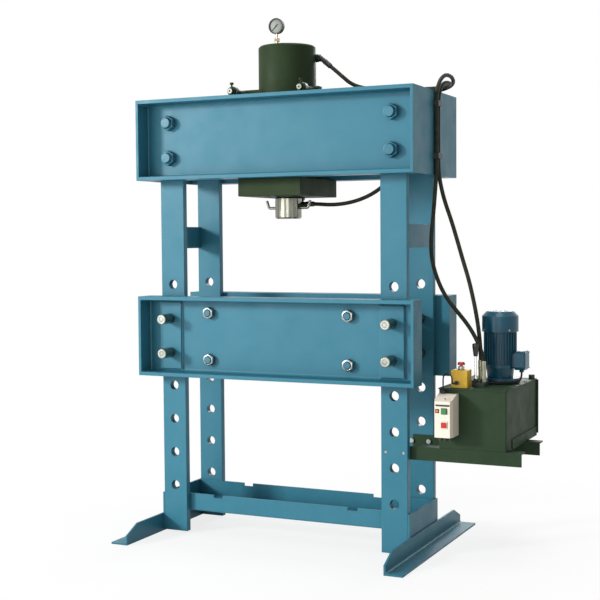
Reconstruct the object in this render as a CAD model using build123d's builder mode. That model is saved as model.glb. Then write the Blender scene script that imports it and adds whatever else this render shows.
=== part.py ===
from build123d import *
import math
import os

# H-frame workshop press with a sliding cylinder and an electric hydraulic power pack.
# Millimetres, +Z up. X runs along the beams, the operator stands at -Y.

# Frame
beam_length = 1288
beam_height = 350
flange_width = 100
flange_thickness = 16
web_thickness = 14
root_radius = 12
end_plate_thickness = 12
beam_gap = 360
head_bottom = 1572
upright_spacing = 1046
upright_width = 116
upright_thickness = 30
upright_bottom = 8
upright_top_gap = 22
edge_break = 1.5

# Lock pins and their holes
pin_diameter = 40
pin_chamfer = 5
pin_grip_diameter = 44
pin_grip_chamfer = 2
pin_grip_gap = 0.3
pin_reach = 80
pin_back_reach = 12
pin_hole_diameter = 41.4
pin_hole_pitch = 150
pin_hole_rows = 7
top_pin_hole_height = 1113
doubler_width = 106
doubler_height = 294
doubler_thickness = 12

# Beam bolts
head_bolt_diameter = 44
head_bolt_rise = 76.5
head_nut_flats = 58
head_nut_height = 27
head_bolt_tip = 13
tie_bolt_diameter = 30
tie_bolt_offset = 330
tie_bolt_rise = 102.5
tie_nut_flats = 46
tie_nut_height = 24
tie_bolt_tip = 3
spacer_diameter = 48
bolt_clearance = 0.3

# Plates, rails and feet that join the uprights
tie_plate_thickness = 12
tie_plate_height = 98
tie_plate_bottom = 1272
side_plate_thickness = 8
side_plate_top = 176
tray_bottom = 98
tray_height = 78
tray_wall = 6
tray_floor = 8
notch_width = 45
notch_depth = 14
notch_offset = 323
foot_length = 960
foot_leg = 80
foot_thickness = 8
foot_tip_height = 40
foot_slant = 88

# Cylinder and its rollers
cylinder_offset = -37
barrel_diameter = 252
barrel_bore = 200
barrel_top = 2150
barrel_cap = 45
barrel_chamfer = 7
block_width = 294
block_depth = 388
block_thickness = 76
block_chamfer = 2
head_clearance = 0.3
roller_diameter = 44
roller_width = 24
roller_collar_diameter = 36
roller_collar_width = 14
roller_setting = 194
axle_diameter = 24
axle_offset = 163
axle_tip = 12
roller_clearance = 0.3
running_clearance = 0.05
bracket_width = 40
bracket_setting = 70
bracket_height = 34
stop_screw_diameter = 8
stop_knob_diameter = 17
stop_knob_height = 8
stop_screw_rise = 11

# Ram
rod_diameter = 100
piston_thickness = 62
piston_clearance = 0.06
rod_out = 60
nose_diameter = 117
nose_height = 95
nose_chamfer = 6
nose_gap = 0.7
nose_clearance = 0.3
screw_diameter = 12
screw_rise = 12
screw_leg = 36
screw_handle = 32
screw_lean = 11
screw_bend = 9

# Oil ports of the cylinder
port_y = 40
port_height = 2098
port_boss_diameter = 34
port_boss_height = 4
port_elbow_length = 26
low_port = (-10, 78)
low_port_drop = 30
low_port_reach = 26

# Pressure gauge
gauge_diameter = 63
gauge_bezel = 68
gauge_depth = 28
gauge_bezel_depth = 8
gauge_rise = 74
gauge_setback = -100
gauge_stem_diameter = 12
gauge_stem_foot = 9
gauge_hexagon_flats = 20
gauge_hexagon_height = 14
gauge_recess = 4
pointer_length = 44
pointer_tail = 12
pointer_width = 3
pointer_thickness = 1
pointer_rest_angle = 45
pointer_hub = 7
spindle_diameter = 2.4

# Bracket arms of the power pack
arm_leg = 55
arm_wall = 6
arm_top = 455
arm_length = 459
arm_overlap = 100
arm_bolt_diameter = 12
arm_bolt_flats = 19
arm_bolt_pitch = 78
arm_bolt_height = 429

# Tank
tank_left = 706
tank_width = 280
tank_front = -148
tank_depth = 480
tank_height = 242
tank_wall = 3
tank_lid_thickness = 5
lid_overhang = 3
skirt_height = 40
skirt_thickness = 4
back_plate_overhang = 9
back_plate_thickness = 4

# Motor, standing on its bell housing
motor_x = 883
motor_y = 130
motor_foot = 12
flange_plate_radius = 82
motor_radius = 62
fin_height = 7
fin_thickness = 3
fin_count = 32
motor_body_bottom = 66
motor_body_height = 146
cover_radius = 76
cover_height = 85
cover_chamfer = 20
cover_wall = 2
shaft_diameter = 24
fan_radius = 64
fan_blades = 7
terminal_width = 76
terminal_height = 80
terminal_depth = 46
terminal_rise = 85
terminal_seat = 70

# Pump that hangs in the tank
pump_width = 92
pump_depth = 78
pump_height = 88
strainer_diameter = 60
strainer_height = 52
suction_diameter = 27

# Valve, its lever and the hose fittings
valve_x = 845
valve_y = -24.5
valve_width = 52
valve_depth = 83
valve_height = 18
lever_x = 832
lever_y = -55
lever_rod_diameter = 9
lever_rod_length = 100
knob_bottom_diameter = 17
knob_top_diameter = 28
knob_height = 52
lever_hub_diameter = 16
lever_hub_width = 10
lever_pin_diameter = 6
lever_lug_width = 5
lever_clearance = 0.3
fitting_nut_flats = 27
fitting_diameter = 21
fitting_height = 50
fitting_nut = 12
fitting_points = ((858, -30), (838, -1))

# Emergency stop
estop_x = 782
estop_y = -90
estop_width = 70
estop_depth = 60
estop_height = 72
estop_collar_diameter = 24
estop_collar_height = 14
estop_button_diameter = 30
estop_button_height = 12
estop_stem_diameter = 12
estop_travel = 5

# Motor starter on the tank's front
starter_left = 713
starter_width = 76
starter_front = -244
starter_bottom = 514
starter_height = 146
starter_slope = 22
starter_bevel = 20
button_size = 22
button_height = 7
button_gap = 0.3
button_offset = 7.5
start_button_height = 621
stop_button_height = 566
lamp_diameter = 11

# Filler breather
breather_inset = (14, 24)
breather_diameter = 26
breather_height = 18
breather_neck_diameter = 16

# Hoses and cables
hose_diameter = 17
cable_diameter = 8
thin_cable_diameter = 6
gland_diameter = 17
gland_length = 18
clip_clearance = 1.6

# Worked out from the sizes above
half_length = beam_length / 2
half_gap = beam_gap / 2
beam_reach = half_gap + flange_width
web_front = half_gap + web_thickness
head_top = head_bottom + beam_height
pin_heights = (top_pin_hole_height - 2 * pin_hole_pitch, top_pin_hole_height - pin_hole_pitch)
bed_bottom = sum(pin_heights) / 2 - beam_height / 2
bed_top = bed_bottom + beam_height
upright_x = upright_spacing / 2
upright_outer = upright_x + upright_width / 2
upright_inner = upright_x - upright_width / 2
upright_top = head_top - upright_top_gap
upright_face = half_gap - upright_thickness
side_outer = upright_outer + side_plate_thickness
foot_outer = side_outer + foot_leg
arm_end = side_outer + arm_length
press_x = (foot_outer - arm_end) / 2
doubler_front = web_front + doubler_thickness
pin_front = doubler_front + pin_reach
pin_back = doubler_front + pin_back_reach
block_top = head_bottom - head_clearance
block_bottom = block_top - block_thickness
roller_height = head_top + roller_diameter / 2 + roller_clearance
collar_setting = roller_setting + roller_width / 2 + roller_clearance + roller_collar_width / 2
gauge_height = barrel_top + gauge_rise
tank_bottom = arm_top
lid_bottom = tank_bottom + tank_height
lid_top = lid_bottom + tank_lid_thickness
tank_x = tank_left + tank_width / 2
tank_y = tank_front + tank_depth / 2
breather_x = tank_left + tank_width - breather_inset[0]
breather_y = tank_front + tank_depth - breather_inset[1]
motor_base = lid_top + motor_foot
fitting_top = lid_top + valve_height + fitting_height
lever_pivot = lid_top + valve_height + lever_hub_diameter / 2 + lever_clearance
port_x = cylinder_offset + barrel_diameter / 2 + port_boss_height
port_elbow = Plane(
    (press_x + port_x + fitting_nut, port_y, port_height),
    x_dir=(0, 1, 0),
    z_dir=(0.77, 0, -0.638),
)
port_mouth = port_elbow.origin + port_elbow.z_dir * port_elbow_length - Vector(press_x, 0, 0)
left_right = (-1, 1)

os.makedirs("parts", exist_ok=True)


def level(height, x=0, y=0):
    """A horizontal plane; its sketch runs along X and Y from the press's centre line."""
    return Plane((press_x + x, y, height))


def facing(y):
    """An upright plane seen by the operator; its sketch runs along X and Z, and extrudes to the operator."""
    return Plane((press_x, y, 0), x_dir=(1, 0, 0), z_dir=(0, -1, 0))


def across(x):
    """An upright plane across the beams; its sketch runs along Y and Z, and extrudes to the right."""
    return Plane((press_x + x, 0, 0), x_dir=(0, 1, 0), z_dir=(1, 0, 0))


def hexagon(flats):
    return RegularPolygon(flats / 2, 6, major_radius=False, rotation=30)


def drill_along_y(points, diameter):
    """Cut one round hole through everything along Y at each point."""
    with BuildSketch(facing(0)) as holes:
        with Locations(*points):
            Circle(diameter / 2)
    extrude(holes.sketch, amount=foot_length, both=True, mode=Mode.SUBTRACT)


def finish(part, name):
    part.label = name
    export_step(part, f"parts/{name}.step")


# Uprights: four flat bars, drilled for the lock pins and the head bolts
head_bolt_heights = (
    head_bottom + beam_height / 2 - head_bolt_rise,
    head_bottom + beam_height / 2 + head_bolt_rise,
)
pin_hole_heights = [top_pin_hole_height - pin_hole_pitch * row for row in range(pin_hole_rows)]
arm_bolt_points = [(upright_x + side * arm_bolt_pitch / 2, arm_bolt_height) for side in left_right]

for depth_side, depth_name in ((-1, "front"), (1, "back")):
    for side, side_name in ((-1, "left"), (1, "right")):
        with BuildPart() as upright:
            with BuildSketch(level(upright_bottom)):
                with Locations((side * upright_x, depth_side * (half_gap - upright_thickness / 2))):
                    Rectangle(upright_width, upright_thickness)
            extrude(amount=upright_top - upright_bottom)
            chamfer(upright.edges().filter_by(Axis.Z), edge_break)
            drill_along_y([(side * upright_x, height) for height in pin_hole_heights], pin_hole_diameter)
            drill_along_y(
                [(side * upright_x, height) for height in head_bolt_heights],
                head_bolt_diameter + 2 * bolt_clearance,
            )
            if side > 0:
                drill_along_y(arm_bolt_points, arm_bolt_diameter + 2 * bolt_clearance)
        finish(upright.part, f"upright_{depth_name}_{side_name}")


def draw_channel(side, bottom):
    """The section of a rolled channel whose web backs onto the uprights and whose flanges face outwards."""
    opening = flange_width - web_thickness
    with Locations((side * (half_gap + flange_width / 2), bottom + beam_height / 2)):
        Rectangle(flange_width, beam_height)
    with Locations((side * (beam_reach - opening / 2), bottom + beam_height / 2)):
        Rectangle(opening, beam_height - 2 * flange_thickness, mode=Mode.SUBTRACT)


def round_channel(beam, side):
    """Round the two inner corners where the flanges grow from the web."""
    corners = beam.edges().filter_by(Axis.X).filter_by_position(
        Axis.Y, side * web_front - 0.1, side * web_front + 0.1
    )
    fillet(corners, root_radius)
    toes = beam.edges().filter_by(Axis.X).filter_by_position(
        Axis.Y, side * beam_reach - 0.1, side * beam_reach + 0.1
    )
    fillet(toes, edge_break)


# Head beams: two channels, bolted outside the uprights
inner_length = beam_length - 2 * end_plate_thickness
for side, side_name in ((-1, "front"), (1, "back")):
    with BuildPart() as head_beam:
        with BuildSketch(across(-inner_length / 2)):
            draw_channel(side, head_bottom)
        extrude(amount=inner_length)
        round_channel(head_beam, side)
        drill_along_y(
            [(x * upright_x, height) for x in left_right for height in head_bolt_heights],
            head_bolt_diameter + 2 * bolt_clearance,
        )
    finish(head_beam.part, f"head_{side_name}_beam")

# Head end plates: one full-depth plate welded across both channels at each end
with BuildPart() as head_end_plates:
    for side in left_right:
        with BuildSketch(across(side * (half_length - end_plate_thickness / 2))):
            with Locations((0, head_bottom + beam_height / 2)):
                Rectangle(2 * beam_reach, beam_height)
        extrude(amount=end_plate_thickness / 2, both=True)
    chamfer(head_end_plates.edges().filter_by(Axis.X), edge_break)
finish(head_end_plates.part, "head_end_plates")

# Head bolts: eight studs with a nut outside the web and one behind the upright
with BuildPart() as head_bolts:
    for side in left_right:
        for x in left_right:
            for height in head_bolt_heights:
                with BuildSketch(facing(side * web_front)):
                    with Locations((x * upright_x, height)):
                        hexagon(head_nut_flats)
                extrude(amount=-side * head_nut_height)
                with BuildSketch(facing(side * upright_face)):
                    with Locations((x * upright_x, height)):
                        hexagon(head_nut_flats)
                extrude(amount=side * head_nut_height)
                with BuildSketch(facing(side * (upright_face - head_nut_height))):
                    with Locations((x * upright_x, height)):
                        Circle(head_bolt_diameter / 2)
                extrude(amount=-side * (web_front - upright_face + 2 * head_nut_height + head_bolt_tip))
    tips = head_bolts.edges().filter_by(GeomType.CIRCLE).filter_by_position(
        Axis.Y,
        web_front + head_nut_height + head_bolt_tip - 0.1,
        web_front + head_nut_height + head_bolt_tip + 0.1,
    )
    front_tips = head_bolts.edges().filter_by(GeomType.CIRCLE).filter_by_position(
        Axis.Y,
        -web_front - head_nut_height - head_bolt_tip - 0.1,
        -web_front - head_nut_height - head_bolt_tip + 0.1,
    )
    chamfer(tips + front_tips, 2)
finish(head_bolts.part, "head_bolts")

# Bed beams: two channels with flange-deep end plates and doublers where the lock pins pass
pin_points = [(x * upright_x, height) for x in left_right for height in pin_heights]
tie_bolt_heights = (
    bed_bottom + beam_height / 2 - tie_bolt_rise,
    bed_bottom + beam_height / 2 + tie_bolt_rise,
)
tie_bolt_points = [(x * tie_bolt_offset, height) for x in left_right for height in tie_bolt_heights]
for side, side_name in ((-1, "front"), (1, "back")):
    with BuildPart() as bed_beam:
        with BuildSketch(across(-inner_length / 2)):
            draw_channel(side, bed_bottom)
        extrude(amount=inner_length)
        round_channel(bed_beam, side)
        for end in left_right:
            with BuildSketch(across(end * (half_length - end_plate_thickness / 2))):
                with Locations((side * (half_gap + flange_width / 2), bed_bottom + beam_height / 2)):
                    Rectangle(flange_width, beam_height)
            extrude(amount=end_plate_thickness / 2, both=True)
            with BuildSketch(facing(side * web_front)):
                with Locations((end * upright_x, bed_bottom + beam_height / 2)):
                    Rectangle(doubler_width, doubler_height)
            extrude(amount=-side * doubler_thickness)
        drill_along_y(pin_points, pin_hole_diameter)
        drill_along_y(tie_bolt_points, tie_bolt_diameter + 2 * bolt_clearance)
    finish(bed_beam.part, f"bed_{side_name}_beam")

# Bed tie bolts: studs with a nut at each end and a spacer tube between the beams
with BuildPart() as bed_tie_bolts:
    tie_bolt_length = 2 * (web_front + tie_nut_height + tie_bolt_tip)
    for point in tie_bolt_points:
        with BuildSketch(facing(0)):
            with Locations(point):
                Circle(tie_bolt_diameter / 2)
        extrude(amount=tie_bolt_length / 2, both=True)
        for side in left_right:
            with BuildSketch(facing(side * web_front)):
                with Locations(point):
                    hexagon(tie_nut_flats)
            extrude(amount=-side * tie_nut_height)
        with BuildSketch(facing(0)):
            with Locations(point):
                Circle(spacer_diameter / 2)
                Circle(tie_bolt_diameter / 2, mode=Mode.SUBTRACT)
        extrude(amount=half_gap, both=True)
    ends = bed_tie_bolts.edges().filter_by(GeomType.CIRCLE).group_by(Axis.Y)
    chamfer(ends[0] + ends[-1], 2)
finish(bed_tie_bolts.part, "bed_tie_bolts")

# Lock pins: bars that carry the bed, each with a thicker grip that stands off the doubler
pin_length = pin_front + pin_back
for side, side_name in ((-1, "left"), (1, "right")):
    for height, row_name in zip(pin_heights, ("lower", "upper")):
        with BuildPart() as lock_pin:
            with BuildSketch(facing(pin_back)):
                with Locations((side * upright_x, height)):
                    Circle(pin_diameter / 2)
            extrude(amount=pin_length)
            with BuildSketch(facing(-doubler_front - pin_grip_gap)):
                with Locations((side * upright_x, height)):
                    Circle(pin_grip_diameter / 2)
            extrude(amount=pin_reach - pin_grip_gap)
            rims = lock_pin.edges().filter_by(GeomType.CIRCLE).sort_by(Axis.Y)
            chamfer(rims[0], pin_grip_chamfer)
            chamfer(rims[-1], pin_chamfer)
        finish(lock_pin.part, f"lock_pin_{side_name}_{row_name}")

# Tie plates between the front and back uprights, below the head
with BuildPart() as tie_plates:
    for side in left_right:
        with BuildSketch(across(side * (upright_outer - tie_plate_thickness / 2))):
            with Locations((0, tie_plate_bottom + tie_plate_height / 2)):
                Rectangle(2 * upright_face, tie_plate_height)
        extrude(amount=tie_plate_thickness / 2, both=True)
finish(tie_plates.part, "tie_plates")

# Side plates at the foot of each pair of uprights
with BuildPart() as base_side_plates:
    for side in left_right:
        with BuildSketch(across(side * (upright_outer + side_plate_thickness / 2))):
            with Locations((0, (upright_bottom + side_plate_top) / 2)):
                Rectangle(beam_gap, side_plate_top - upright_bottom)
        extrude(amount=side_plate_thickness / 2, both=True)
    chamfer(base_side_plates.edges().filter_by(Axis.X), edge_break)
finish(base_side_plates.part, "base_side_plates")

# Base tray: a folded sheet between the uprights' feet, its upstands notched in their upper edges
with BuildPart() as base_tray:
    with BuildSketch(across(-upright_outer)):
        with Locations((0, tray_bottom + tray_height / 2)):
            Rectangle(2 * upright_face, tray_height)
        with Locations((0, tray_bottom + (tray_height + tray_floor) / 2)):
            Rectangle(2 * (upright_face - tray_wall), tray_height - tray_floor, mode=Mode.SUBTRACT)
    extrude(amount=2 * upright_outer)
    fold = base_tray.edges().filter_by(Axis.X).group_by(Axis.Z)[0]
    fillet(fold, tray_wall * 1.3)
    with BuildSketch(facing(0)):
        for side in left_right:
            with Locations((side * notch_offset, tray_bottom + tray_height - notch_depth / 2)):
                Rectangle(notch_width, notch_depth)
    extrude(amount=upright_face, both=True, mode=Mode.SUBTRACT)
finish(base_tray.part, "base_tray")

# Feet: angle bars along Y, outside the side plates, their upright legs cut at a slant
for side, side_name in ((-1, "left"), (1, "right")):
    with BuildPart() as foot:
        with BuildSketch(across(side * side_outer)):
            with BuildLine():
                Polyline(
                    (-foot_length / 2, 0),
                    (foot_length / 2, 0),
                    (foot_length / 2, foot_tip_height),
                    (foot_length / 2 - foot_slant, foot_leg),
                    (foot_slant - foot_length / 2, foot_leg),
                    (-foot_length / 2, foot_tip_height),
                    close=True,
                )
            make_face()
        extrude(amount=side * foot_thickness)
        with BuildSketch(level(0)):
            with Locations((side * (side_outer + foot_leg / 2), 0)):
                Rectangle(foot_leg, foot_length)
        extrude(amount=foot_thickness)
        inner_corner = foot.edges().filter_by(Axis.Y).filter_by_position(
            Axis.Z, foot_thickness - 0.1, foot_thickness + 0.1
        ).sort_by(Axis.X)
        fillet(inner_corner[0] if side > 0 else inner_corner[-1], foot_thickness * 0.9)
    finish(foot.part, f"foot_{side_name}")

# Bracket arms: two angle bars bolted to the right-hand uprights that carry the tank
for arm_front, side_name in ((-upright_face, "front"), (upright_face - arm_wall, "back")):
    with BuildPart() as arm:
        with BuildSketch(facing(arm_front)):
            with Locations(((arm_end + side_outer - arm_overlap) / 2, arm_top - arm_leg / 2)):
                Rectangle(arm_end - side_outer + arm_overlap, arm_leg)
        extrude(amount=-arm_wall)
        with BuildSketch(level(arm_top)):
            with Locations(((arm_end + side_outer) / 2, arm_front + arm_leg / 2)):
                Rectangle(arm_end - side_outer, arm_leg)
        extrude(amount=-arm_wall)
        drill_along_y(arm_bolt_points, arm_bolt_diameter + 2 * bolt_clearance)
    finish(arm.part, f"bracket_arm_{side_name}")

# Arm bolts: a hexagon head on the arm and a countersunk-flush shank through the upright
with BuildPart() as arm_bolts:
    for side, arm_face in ((-1, upright_face - arm_wall), (1, upright_face - arm_wall)):
        with BuildSketch(facing(side * arm_face)):
            with Locations(*arm_bolt_points):
                hexagon(arm_bolt_flats)
        extrude(amount=side * arm_bolt_flats * 0.42)
        with BuildSketch(facing(side * arm_face)):
            with Locations(*arm_bolt_points):
                Circle(arm_bolt_diameter / 2)
        extrude(amount=-side * (arm_wall + upright_thickness - edge_break))
finish(arm_bolts.part, "arm_bolts")

# Cylinder barrel with its end cap, and the roller brackets welded to its sides
with BuildPart() as cylinder_barrel:
    with BuildSketch(level(block_top, cylinder_offset)):
        Circle(barrel_diameter / 2)
    extrude(amount=barrel_top - block_top)
    chamfer(cylinder_barrel.edges().filter_by(GeomType.CIRCLE).sort_by(Axis.Z)[-1], barrel_chamfer)
    for side in left_right:
        with BuildSketch(level(roller_height - bracket_height / 2, cylinder_offset)):
            with Locations(*[(side * (axle_offset + axle_diameter) / 2, y) for y in (-bracket_setting, bracket_setting)]):
                Rectangle(axle_offset + axle_diameter, bracket_width)
        extrude(amount=bracket_height)
        with BuildSketch(facing(0)):
            with Locations((cylinder_offset + side * axle_offset, roller_height)):
                Circle(axle_diameter / 2)
        extrude(amount=collar_setting + roller_collar_width / 2 + axle_tip, both=True)
        for y in left_right:
            with BuildSketch(facing(y * (collar_setting - roller_collar_width / 2))):
                with Locations((cylinder_offset + side * axle_offset, roller_height)):
                    Circle(roller_collar_diameter / 2)
            extrude(amount=-y * roller_collar_width)
            with BuildSketch(level(roller_height, cylinder_offset)):
                with Locations((side * axle_offset, y * collar_setting)):
                    Circle(stop_screw_diameter / 2)
            extrude(amount=roller_collar_diameter / 2 + stop_screw_rise)
            with BuildSketch(level(roller_height + roller_collar_diameter / 2 + stop_screw_rise, cylinder_offset)):
                with Locations((side * axle_offset, y * collar_setting)):
                    Circle(stop_knob_diameter / 2)
            extrude(amount=stop_knob_height)
    with BuildSketch(across(cylinder_offset + barrel_bore / 2)):
        with Locations((port_y, port_height)):
            Circle(port_boss_diameter / 2)
    extrude(amount=port_x - cylinder_offset - barrel_bore / 2)
    with BuildSketch(level(block_top, cylinder_offset)):
        Circle(barrel_bore / 2)
    extrude(amount=barrel_top - barrel_cap - block_top, mode=Mode.SUBTRACT)
finish(cylinder_barrel.part, "cylinder_barrel")

# Cylinder block: the thick plate that presses up against the head beams and guides the rod
with BuildPart() as cylinder_block:
    with BuildSketch(level(block_bottom, cylinder_offset)):
        Rectangle(block_width, block_depth)
        Circle(rod_diameter / 2 + running_clearance, mode=Mode.SUBTRACT)
    extrude(amount=block_thickness)
    outline = cylinder_block.edges().filter_by(Axis.X) + cylinder_block.edges().filter_by(Axis.Y)
    chamfer(outline, block_chamfer)
finish(cylinder_block.part, "cylinder_block")

# Rollers: each pair shares one axle line and rolls on the head's upper flanges
for side, side_name in ((-1, "left"), (1, "right")):
    with BuildPart() as rollers:
        for y in left_right:
            with BuildSketch(facing(y * roller_setting)):
                with Locations((cylinder_offset + side * axle_offset, roller_height)):
                    Circle(roller_diameter / 2)
                    Circle(axle_diameter / 2 + running_clearance, mode=Mode.SUBTRACT)
            extrude(amount=roller_width / 2, both=True)
        rims = rollers.edges().filter_by(GeomType.CIRCLE).filter_by(
            lambda edge: edge.radius > roller_diameter / 2 - 1
        )
        chamfer(rims, edge_break)
    finish(rollers.part, f"rollers_{side_name}")

# Ram: the rod turned in one piece with its piston
with BuildPart() as ram_rod:
    with BuildSketch(level(block_bottom - rod_out, cylinder_offset)):
        Circle(rod_diameter / 2)
    extrude(amount=barrel_top - barrel_cap - 20 - block_bottom + rod_out)
    with BuildSketch(level(barrel_top - barrel_cap - 20 - piston_thickness, cylinder_offset)):
        Circle(barrel_bore / 2 - piston_clearance)
    extrude(amount=piston_thickness)
    chamfer(ram_rod.edges().filter_by(GeomType.CIRCLE).sort_by(Axis.Z)[0], 2)
finish(ram_rod.part, "ram_rod")

# Ram nose: a hard pressure cap that slips over the rod's end
nose_top = block_bottom - nose_gap
nose_bottom = nose_top - nose_height
screw_height = block_bottom - rod_out + screw_rise
with BuildPart() as ram_nose:
    with BuildSketch(level(nose_bottom, cylinder_offset)):
        Circle(nose_diameter / 2)
    extrude(amount=nose_height)
    chamfer(ram_nose.edges().filter_by(GeomType.CIRCLE), nose_chamfer)
    with BuildSketch(level(block_bottom - rod_out, cylinder_offset)):
        Circle(rod_diameter / 2 + nose_clearance)
    extrude(amount=nose_height, mode=Mode.SUBTRACT)
    with BuildSketch(across(cylinder_offset)):
        with Locations((0, screw_height)):
            Circle(screw_diameter / 2 + running_clearance)
    extrude(amount=nose_diameter, both=True, mode=Mode.SUBTRACT)
finish(ram_nose.part, "ram_nose")

# Clamp screws: bent-over thumb screws through the nose's wall
for side, side_name in ((-1, "left"), (1, "right")):
    reach = nose_diameter / 2 + screw_leg
    start = rod_diameter / 2 + nose_clearance
    with BuildPart() as nose_screw:
        with BuildLine():
            FilletPolyline(
                (press_x + cylinder_offset + side * start, 0, screw_height),
                (press_x + cylinder_offset + side * reach, 0, screw_height),
                (press_x + cylinder_offset + side * (reach + screw_lean), 0, screw_height + screw_handle),
                radius=screw_bend,
            )
        with BuildSketch(Plane(
            (press_x + cylinder_offset + side * start, 0, screw_height), x_dir=(0, 1, 0), z_dir=(side, 0, 0)
        )):
            Circle(screw_diameter / 2)
        sweep()
    finish(nose_screw.part, f"nose_screw_{side_name}")

# Cylinder fittings: a half elbow at the barrel's top and a full one under the block beside the ram
with BuildPart() as cylinder_fittings:
    with BuildSketch(across(port_x)):
        with Locations((port_y, port_height)):
            hexagon(fitting_nut_flats)
    extrude(amount=fitting_nut)
    with BuildSketch(port_elbow):
        Circle(fitting_diameter / 2)
    extrude(amount=port_elbow_length)
    with Locations(tuple(port_elbow.origin)):
        Sphere(fitting_diameter / 2)
    with BuildSketch(level(block_bottom, low_port[0], low_port[1])):
        hexagon(fitting_nut_flats)
    extrude(amount=-12)
    with BuildSketch(level(block_bottom, low_port[0], low_port[1])):
        Circle(fitting_diameter / 2)
    extrude(amount=-low_port_drop)
    with Locations((press_x + low_port[0], low_port[1], block_bottom - low_port_drop)):
        Sphere(fitting_diameter / 2)
    with BuildSketch(across(low_port[0])):
        with Locations((low_port[1], block_bottom - low_port_drop)):
            Circle(fitting_diameter / 2)
    extrude(amount=low_port_reach)
finish(cylinder_fittings.part, "cylinder_fittings")

# Pressure gauge: case with a bezel, brass stem, and a pointer on its own spindle
gauge_centre = (cylinder_offset, gauge_height)
gauge_front = gauge_setback - gauge_depth / 2
with BuildPart() as gauge_case:
    with BuildSketch(facing(gauge_setback)):
        with Locations(gauge_centre):
            Circle(gauge_diameter / 2)
    extrude(amount=gauge_depth / 2, both=True)
    with BuildSketch(facing(gauge_front)):
        with Locations(gauge_centre):
            Circle(gauge_bezel / 2)
    extrude(amount=-gauge_bezel_depth)
    chamfer(gauge_case.edges().filter_by(GeomType.CIRCLE).sort_by(Axis.Y)[-1], 4)
    with BuildSketch(facing(gauge_front)):
        with Locations(gauge_centre):
            Circle(gauge_diameter / 2 - 2)
    extrude(amount=-gauge_recess, mode=Mode.SUBTRACT)
    with BuildSketch(facing(gauge_front + gauge_recess)):
        with Locations(gauge_centre):
            Circle(spindle_diameter / 2)
    extrude(amount=gauge_recess - 0.5)
finish(gauge_case.part, "gauge_case")

with BuildPart() as gauge_stem:
    with BuildSketch(level(barrel_top, cylinder_offset, gauge_setback)):
        Circle(gauge_stem_diameter / 2)
    extrude(amount=gauge_rise - gauge_diameter / 2 + 3)
    with BuildSketch(level(barrel_top + gauge_stem_foot, cylinder_offset, gauge_setback)):
        hexagon(gauge_hexagon_flats)
    extrude(amount=gauge_hexagon_height)
    with BuildSketch(facing(gauge_setback)):
        with Locations(gauge_centre):
            Circle(gauge_diameter / 2)
    extrude(amount=gauge_depth, both=True, mode=Mode.SUBTRACT)
    with BuildSketch(facing(gauge_front)):
        with Locations(gauge_centre):
            Circle(gauge_bezel / 2)
    extrude(amount=-gauge_bezel_depth, mode=Mode.SUBTRACT)
finish(gauge_stem.part, "gauge_stem")

with BuildPart() as gauge_pointer:
    with BuildSketch(facing(gauge_front + gauge_recess / 2 + pointer_thickness / 2)):
        with Locations(Location((gauge_centre[0], gauge_centre[1], 0), (0, 0, pointer_rest_angle))):
            Circle(pointer_hub / 2)
            with Locations(((pointer_length - pointer_tail) / -2 + pointer_tail / 2, 0)):
                Rectangle(pointer_length - pointer_tail, pointer_width)
            with Locations((pointer_tail / 2, 0)):
                Rectangle(pointer_tail, pointer_width)
            Circle(spindle_diameter / 2 + running_clearance, mode=Mode.SUBTRACT)
    extrude(amount=pointer_thickness)
finish(gauge_pointer.part, "gauge_pointer")

# Tank: a welded box with side skirts, open at the top, and a back plate that overhangs
with BuildPart() as tank_body:
    with BuildSketch(level(tank_bottom, tank_x, tank_y)):
        Rectangle(tank_width, tank_depth)
    extrude(amount=tank_height)
    chamfer(tank_body.edges().filter_by(Axis.Z), tank_wall)
    with BuildSketch(level(tank_bottom + tank_wall, tank_x, tank_y)):
        Rectangle(tank_width - 2 * tank_wall, tank_depth - 2 * tank_wall)
    extrude(amount=tank_height, mode=Mode.SUBTRACT)
    for side in left_right:
        with BuildSketch(across(tank_x + side * tank_width / 2)):
            with Locations((tank_y + skirt_height, tank_bottom + skirt_height / 2)):
                Rectangle(tank_depth - 2 * skirt_height - 2 * tank_wall, skirt_height)
        extrude(amount=side * skirt_thickness)
    with BuildSketch(facing(tank_front + tank_depth)):
        with Locations((tank_x, tank_bottom + tank_height / 2 + 5)):
            Rectangle(tank_width + 2 * back_plate_overhang, tank_height - 10)
    extrude(amount=-back_plate_thickness)
finish(tank_body.part, "tank_body")

# Tank lid: a plate drilled for the pump and the filler neck, and turned down at its edge
with BuildPart() as tank_lid:
    with BuildSketch(level(lid_bottom, tank_x, tank_y)):
        Rectangle(tank_width + 2 * lid_overhang, tank_depth + 2 * lid_overhang)
    extrude(amount=tank_lid_thickness)
    chamfer(tank_lid.edges().filter_by(Axis.Z), lid_overhang)
    with BuildSketch(level(lid_bottom, motor_x, motor_y)):
        Circle(pump_depth / 2 - 8)
    extrude(amount=tank_lid_thickness, mode=Mode.SUBTRACT)
    with BuildSketch(level(lid_bottom, breather_x, breather_y)):
        Circle(breather_neck_diameter / 2 + bolt_clearance)
    extrude(amount=tank_lid_thickness, mode=Mode.SUBTRACT)
finish(tank_lid.part, "tank_lid")

# Bell housing: carries the motor on the lid and the pump below it
with BuildPart() as bell_housing:
    with BuildSketch(level(lid_top, motor_x, motor_y)):
        Circle(flange_plate_radius)
    extrude(amount=motor_foot)
    with BuildSketch(level(lid_bottom - 12, motor_x, motor_y)):
        Circle(pump_depth / 2 - 8 - bolt_clearance)
    extrude(amount=tank_lid_thickness + 12)
    with BuildSketch(level(lid_bottom - 12, motor_x, motor_y)):
        Circle(shaft_diameter / 2 + 6)
    extrude(amount=60, mode=Mode.SUBTRACT)
finish(bell_housing.part, "bell_housing")

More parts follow.
